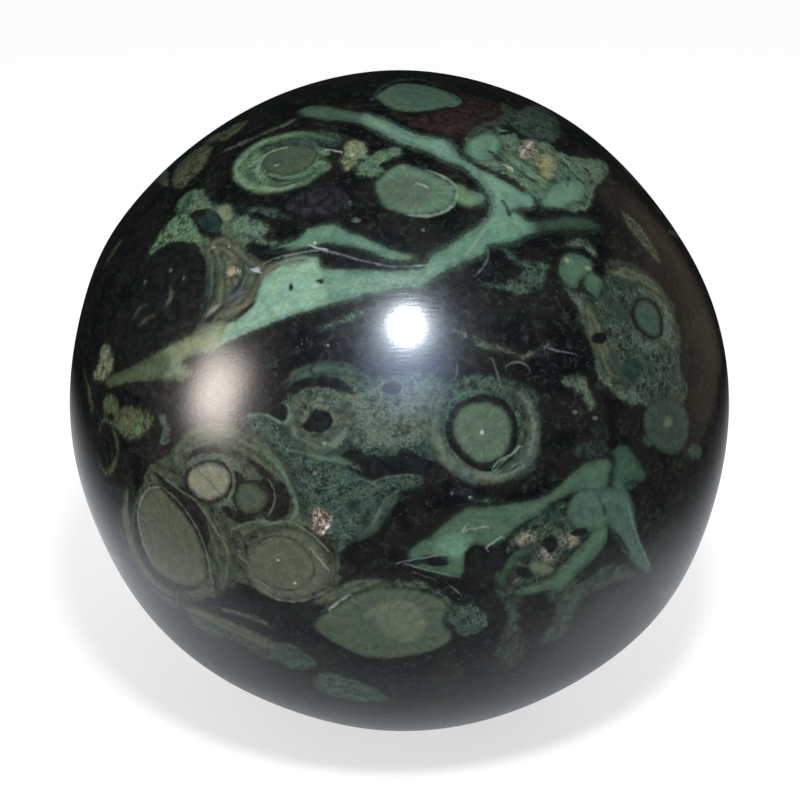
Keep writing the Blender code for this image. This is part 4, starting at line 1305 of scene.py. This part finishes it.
class StoneNodes(Nodes):
    """The polished stone, laid on layer by layer: each step takes the colour below, returns its own."""

    def __init__(self, material):
        super().__init__(material)
        # in millimetres, so a noise's scale is in features per millimetre; each noise keeps its name
        self.place = self.scale(self.add("TexCoord").outputs["Object"], 1000.0)
        for name, values in STONE_NOISES.items():
            setattr(self, name, self.noise(self.place, *values))
        self.fringe = self.step(self.sugar, 0.40, 0.58, 0.35, 1.0)
        self.ragged = self.math("SUBTRACT", self.ragged, 0.5)
        wander = self.math("SUBTRACT", self.wander, 0.5)
        self.warp = self.math("MULTIPLY_ADD", wander, WANDER_MM, self.times(self.ragged, RAGGED_MM))
        self.slight_warp = self.times(self.warp, SLIGHT_PART)
        self.hue = self.over(WARMER, BLUER, self.step(self.blotch, 0.36, 0.60))
        self.ridge = self.math("ABSOLUTE", self.math("SUBTRACT", self.folds, 0.5))

    def edge(self, layer, warp):
        """The distance into a layer's shapes, with a natural unevenness."""
        return self.math("ADD", self.attribute(layer + "_distance"), warp)

    def varied(self, tint, amount):
        """The tint, turned warmer in places and bluer in others."""
        node = self.add("VectorMath", (tint, self.hue), operation="MULTIPLY")
        return self.over(tint, node.outputs["Vector"], amount)

    def laid(self, below, name, distance, shade, soft, glow, varied):
        """A layer over the colour below, with a dark glow of its colour round its edge."""
        tint = self.varied(self.tint(name), varied)
        around = self.times(self.step(distance, *GLOW_REACH_MM, 0.0, glow), self.fringe)
        below = self.over(below, self.scale(tint, GLOW_SHADE), around)
        return self.over(below, self.scale(tint, shade), self.step(distance, -soft, soft))

    def ground(self):
        """Near-black green, clouded brown in places, with the ghosts of small green shapes."""
        colour = self.over(rgba(GROUND_BLACK), rgba(GROUND_BROWN), self.step(self.cloud, 0.38, 0.62))
        colour = self.over(colour, rgba(GHOST_GREEN), self.step(self.mottle, 0.50, 0.74, 0.0, 0.5))
        colour = self.over(colour, rgba(FLECK_GREY), self.step(self.sugar, 0.60, 0.72, 0.0, 0.5))
        wisps = self.times(self.step(self.ridge, 0.0, 0.03, 0.6, 0.0), self.step(self.mottle, 0.42, 0.56))
        return self.over(colour, rgba(WISP_GREEN), wisps)

    def veils(self, below):
        shade = self.step(self.mottle, 0.35, 0.65, 0.35, 1.15)
        return self.laid(below, "veil", self.edge("veil", self.warp), shade, 0.5, 0.2, 0.5)

    def moss(self, below, name, gaps):
        """Grains of green with dark gaps between them."""
        distance = self.edge(name, self.warp)
        shade = self.times(
            self.step(self.sugar, 0.36, 0.64, 0.62, 1.06),
            self.step(self.grain, 0.32, 0.70, 0.88, 1.10),
            self.step(self.mottle, 0.34, 0.58, gaps, 1.16),
            self.step(distance, 0.0, 1.0, 0.85, 1.05),
        )
        colour = self.laid(below, name, distance, shade, 0.16, 0.6, 0.8)
        pale = self.times(self.step(self.sugar, 0.56, 0.70, 0.0, 0.35), self.step(distance, 0.0, 0.3))
        colour = self.over(colour, self.scale(self.tint(name), PALE_GRAIN_SHADE), pale)
        veins = self.times(self.step(self.ridge, 0.0, 0.012, 0.45, 0.0), self.step(distance, -0.1, 0.2))
        colour = self.over(colour, rgba(VEIN_GREEN), veins)
        cracks = self.times(self.step(self.mottle, 0.60, 0.68, 0.0, 0.7), self.step(distance, -0.2, 0.2))
        return self.over(colour, rgba(NEAR_BLACK), cracks)

    def waves(self, distance, per_mm, clouding):
        """Rings that follow the edge of the shape, pushed about by the clouds of the stone."""
        pushed = self.times(self.cloud, clouding)
        return self.math("SINE", self.math("MULTIPLY_ADD", distance, per_mm, pushed))

    def banded(self, below):
        """Smooth pale and dark bands that run along the shape's edge."""
        distance = self.edge("banded", self.slight_warp)
        shade = self.times(
            self.math("MULTIPLY_ADD", self.waves(distance, 8.5, 7.0), 0.24, 0.90),
            self.step(self.mottle, 0.34, 0.62, 0.62, 1.15),
        )
        return self.laid(below, "banded", distance, shade, 0.2, 0.6, 0.7)

    def mint(self, below):
        """Bands with streaks that follow their edges, deeper in colour towards the edge."""
        distance = self.edge("mint", self.slight_warp)
        x, _, z = self.split(self.place)
        flow = self.join(self.times(distance, 1.6), self.times(x, 0.5), self.times(z, 0.7))
        shade = self.times(
            self.step(self.noise(flow, 1.0, 4.0, 0.65), 0.3, 0.7, 0.78, 1.08),
            self.step(self.mottle, 0.34, 0.62, 0.80, 1.04),
            self.step(self.grain, 0.25, 0.6, 0.86, 1.05),
            self.step(distance, 0.0, 0.7, 0.72, 1.02),
        )
        colour = self.laid(below, "mint", distance, shade, 0.14, 0.7, 0.45)
        flecks = self.times(self.step(self.mottle, 0.60, 0.70), self.step(distance, 0.0, 0.3, 0.0, 0.7))
        return self.over(colour, rgba(DEEP_MINT), flecks)

    def gaps(self, below):
        """Dark lenses, rings and gaps that lie over the green."""
        dark = self.scale(self.tint("black"), self.step(self.mottle, 0.35, 0.7, 0.6, 1.5))
        return self.over(below, dark, self.step(self.edge("black", self.slight_warp), -0.14, 0.14))

    def orbs(self, below):
        """Discs of fine fibres that run out from the middle, with faint rings."""
        distance = self.edge("orb", self.slight_warp)
        spot = self.attribute("orb_place", "Vector")
        x, y, _ = self.split(spot)
        away = self.length(spot)
        fan = self.join(self.math("DIVIDE", x, away), self.math("DIVIDE", y, away), self.times(away, 0.16))
        shade = self.times(
            self.step(self.noise(fan, 8.0, 3.0, 0.7), 0.3, 0.7, 0.82, 1.14),
            self.math("MULTIPLY_ADD", self.waves(distance, 5.0, 9.0), 0.05, 0.98),
            self.step(self.grain, 0.3, 0.7, 0.84, 1.12),
            self.step(self.mottle, 0.3, 0.7, 0.85, 1.1),
            self.step(distance, 0.0, 0.5, 0.72, 1.0),
        )
        return self.laid(below, "orb", distance, shade, 0.16, 0.4, 0.6)

    def lines(self, below, number):
        """Thin veins and rims, broken up along their way."""
        across = self.attribute(f"line_{number}_across")
        across = self.math("ABSOLUTE", self.math("MULTIPLY_ADD", self.ragged, 0.3, across))
        half = self.times(self.attribute(f"line_{number}_width"), 0.5)
        cover = self.step(self.math("SUBTRACT", half, across), -0.10, 0.08)
        cover = self.times(cover, self.step(self.mottle, 0.36, 0.60, 0.3, 0.85))
        return self.over(below, self.tint(f"line_{number}"), cover)

    def specks(self, below):
        """The larger specks where they were drawn, and all over, fine pale specks that are painted glints
        of the polish's scratches.
        """
        spot = self.length(self.attribute("speck_place", "Vector"))
        away = self.math("MULTIPLY_ADD", self.ragged, 2.6, spot)
        colour = self.over(below, self.tint("speck"), self.step(away, 0.4, 1.3, 0.8, 0.0))
        # fine pale specks all over: painted glints, the light that scratches in the polish catch
        return self.over(colour, rgba(LILAC_WHITE), self.step(self.dust, 0.765, 0.82, 0.0, 0.4))

    def pit(self, below):
        """Brown walls and pale crystals in the small pit."""
        lining = self.over(rgba(RUST_BROWN), rgba(PINK_WHITE), self.step(self.crystals, 0.45, 0.62))
        return self.over(below, lining, self.attribute("pit_hollow"))

    def polish(self):
        """Fine scratches across the ball, as a bump."""
        parts = zip(self.split(self.place), SCRATCH_SCALES)
        along = self.join(*(self.times(part, scale) for part, scale in parts))
        bump = self.add("Bump")
        bump.inputs["Strength"].default_value = 1.0
        bump.inputs["Distance"].default_value = SCRATCH_DEPTH
        self.put(bump.inputs["Height"], self.noise(along, 1.0, 3.0, 0.6))
        return bump.outputs["Normal"]


def stone_material():
    material = bpy.data.materials.new("polished_kambaba")
    nodes = StoneNodes(material)
    colour = nodes.veils(nodes.ground())
    for name, gaps in MOSS_GAPS.items():
        colour = nodes.moss(colour, name, gaps)
    colour = nodes.mint(nodes.banded(colour))
    colour = nodes.orbs(nodes.gaps(colour))
    for number in range(LINE_SETS):
        colour = nodes.lines(colour, number)
    scratches = nodes.polish()
    shader = nodes.add("BsdfPrincipled")
    looks = {
        "Base Color": nodes.pit(nodes.specks(colour)),
        "Roughness": nodes.step(nodes.mottle, 0.3, 0.7, 0.23, 0.31),
        "Specular IOR Level": 0.4,
        "Specular Tint": (0.80, 0.90, 1.0, 1.0),
        "Coat Weight": 0.9,
        "Coat Roughness": 0.15,
        "Normal": scratches,
        "Coat Normal": scratches,
    }
    for name, value in looks.items():
        nodes.put(shader.inputs[name], value)
    nodes.shade_with(shader)
    return material


def glowing_material(name, colour, soft_edge):
    """Gives off its own light, fading out over the soft edge, a part of the half size."""
    material = bpy.data.materials.new(name)
    nodes = Nodes(material)
    x, y, _ = nodes.split(nodes.add("TexCoord").outputs["Generated"])
    strength = 1.0
    for part in (x, y):
        from_middle = nodes.math("ABSOLUTE", nodes.math("MULTIPLY_ADD", part, 2.0, -1.0))
        inwards = nodes.math("SUBTRACT", 1.0, from_middle)
        strength = nodes.times(nodes.step(inwards, 0.0, soft_edge), strength)
    light = nodes.add("Emission")
    light.inputs["Color"].default_value = rgba(colour)
    nodes.shade_with(light)
    return material, nodes, light, strength


def place_in_scene(name, data, place, facing):
    """A new thing whose own Z looks along facing."""
    thing = bpy.data.objects.new(name, data)
    thing.location = place
    thing.rotation_euler = facing.to_track_quat("Z", "Y").to_euler()
    bpy.context.scene.collection.objects.link(thing)
    return thing


def card(name, place, facing, size, material):
    """A flat rectangle whose front looks along facing."""
    mesh = bpy.data.meshes.new(name)
    x, y = size[0] / 2, size[1] / 2
    mesh.from_pydata([(-x, -y, 0), (x, -y, 0), (x, y, 0), (-x, y, 0)], [], [(0, 1, 2, 3)])
    mesh.materials.append(material)
    thing = place_in_scene(name, mesh, place, facing)
    return thing


def only_reflected(thing):
    thing.visible_camera = False
    thing.visible_diffuse = False
    thing.visible_transmission = False
    thing.visible_shadow = False


def make_floor():
    material = bpy.data.materials.new("pale_floor")
    nodes = Nodes(material)
    shader = nodes.add("BsdfPrincipled")
    shader.inputs["Base Color"].default_value = FLOOR_COLOUR
    shader.inputs["Roughness"].default_value = 0.9
    shader.inputs["Emission Color"].default_value = (1, 1, 1, 1)
    shader.inputs["Emission Strength"].default_value = FLOOR_GLOW
    nodes.shade_with(shader)
    place = Vector((0, 0, -FLOOR_DROP))
    floor = card("floor", place, Vector((0, 0, 1)), (FLOOR_SIZE, FLOOR_SIZE), material)
    floor.visible_glossy = False


def make_mirrored_floor():
    """What the polish mirrors of the floor: its near part, shaded round the ball and to the sides."""
    material, nodes, light, strength = glowing_material("mirrored_floor", MIRRORED_COLOUR, MIRRORED_EDGE)
    place = nodes.add("NewGeometry").outputs["Position"]
    x, y, _ = nodes.split(place)
    strength = nodes.times(
        strength,
        nodes.step(nodes.length(place), *SHADE_UNDER_BALL),
        nodes.step(y, *SHADE_IN_FRONT),
        nodes.step(x, *SHADE_AT_RIGHT),
        nodes.step(x, *SHADE_AT_LEFT),
    )
    nodes.put(light.inputs["Strength"], strength)
    only_reflected(card("mirrored_floor", Vector((0, 0, 0)), Vector((0, 0, 1)), MIRRORED_SIZE, material))


def direction(right_degrees, up_degrees):
    """A direction from the ball's middle, turned right and up from the direction to the camera."""
    right, up = math.radians(right_degrees), math.radians(up_degrees)
    ahead = TOWARDS * (math.cos(right) * math.cos(up))
    return ahead + RIGHT * (math.sin(right) * math.cos(up)) + UP * math.sin(up)


def make_flash():
    data = bpy.data.lights.new("flash", "AREA")
    data.shape = "DISK"
    data.size = FLASH_SIZE
    data.energy = FLASH_POWER
    data.color = FLASH_COLOUR
    place = MIDDLE + direction(*FLASH_TURN) * FLASH_DISTANCE
    place_in_scene("flash", data, place, place - MIDDLE)


def make_mirrored_lights():
    for name, turn, distance, size, colour, strength, soft_edge in MIRRORED_LIGHTS:
        material, nodes, light, falloff = glowing_material(name, colour, soft_edge)
        nodes.put(light.inputs["Strength"], nodes.times(falloff, strength))
        place = MIDDLE + direction(*turn) * distance
        only_reflected(card(name, place, MIDDLE - place, size, material))


def make_world():
    """Soft light from all round, of which the polish mirrors little."""
    world = bpy.data.worlds.new("studio")
    world.use_nodes = True
    tree = world.node_tree
    tree.nodes.clear()
    rays = tree.nodes.new("ShaderNodeLightPath")
    either = tree.nodes.new("ShaderNodeMixShader")
    tree.links.new(rays.outputs["Is Glossy Ray"], either.inputs[0])
    for number, (colour, strength) in enumerate(ROOM_LIGHTS, start=1):
        room = tree.nodes.new("ShaderNodeBackground")
        room.inputs["Color"].default_value = colour
        room.inputs["Strength"].default_value = strength
        tree.links.new(room.outputs[0], either.inputs[number])
    output = tree.nodes.new("ShaderNodeOutputWorld")
    tree.links.new(either.outputs[0], output.inputs["Surface"])
    bpy.context.scene.world = world


def make_camera():
    data = bpy.data.cameras.new("camera")
    data.sensor_width = SENSOR_MM
    data.lens = SENSOR_MM * PIXELS_PER_TANGENT / PICTURE_PIXELS
    data.clip_start = 0.01
    metres_per_pixel = VIEW_DISTANCE / PIXELS_PER_TANGENT
    aside = RIGHT * (PICTURE_PIXELS / 2 - BALL_MIDDLE_PIXEL[0]) * metres_per_pixel
    above = UP * (BALL_MIDDLE_PIXEL[1] - PICTURE_PIXELS / 2) * metres_per_pixel
    place = MIDDLE + TOWARDS * VIEW_DISTANCE + aside + above
    bpy.context.scene.camera = place_in_scene("camera", data, place, TOWARDS)


def main():
    make_camera()
    make_world()
    make_floor()
    make_mirrored_floor()
    make_flash()
    make_mirrored_lights()
    ball = jasper_ball()
    ball.data.materials.append(stone_material())
    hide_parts("jasper_ball")
    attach(ball, "root")
    bpy.context.scene.view_settings.view_transform = "Standard"


main()
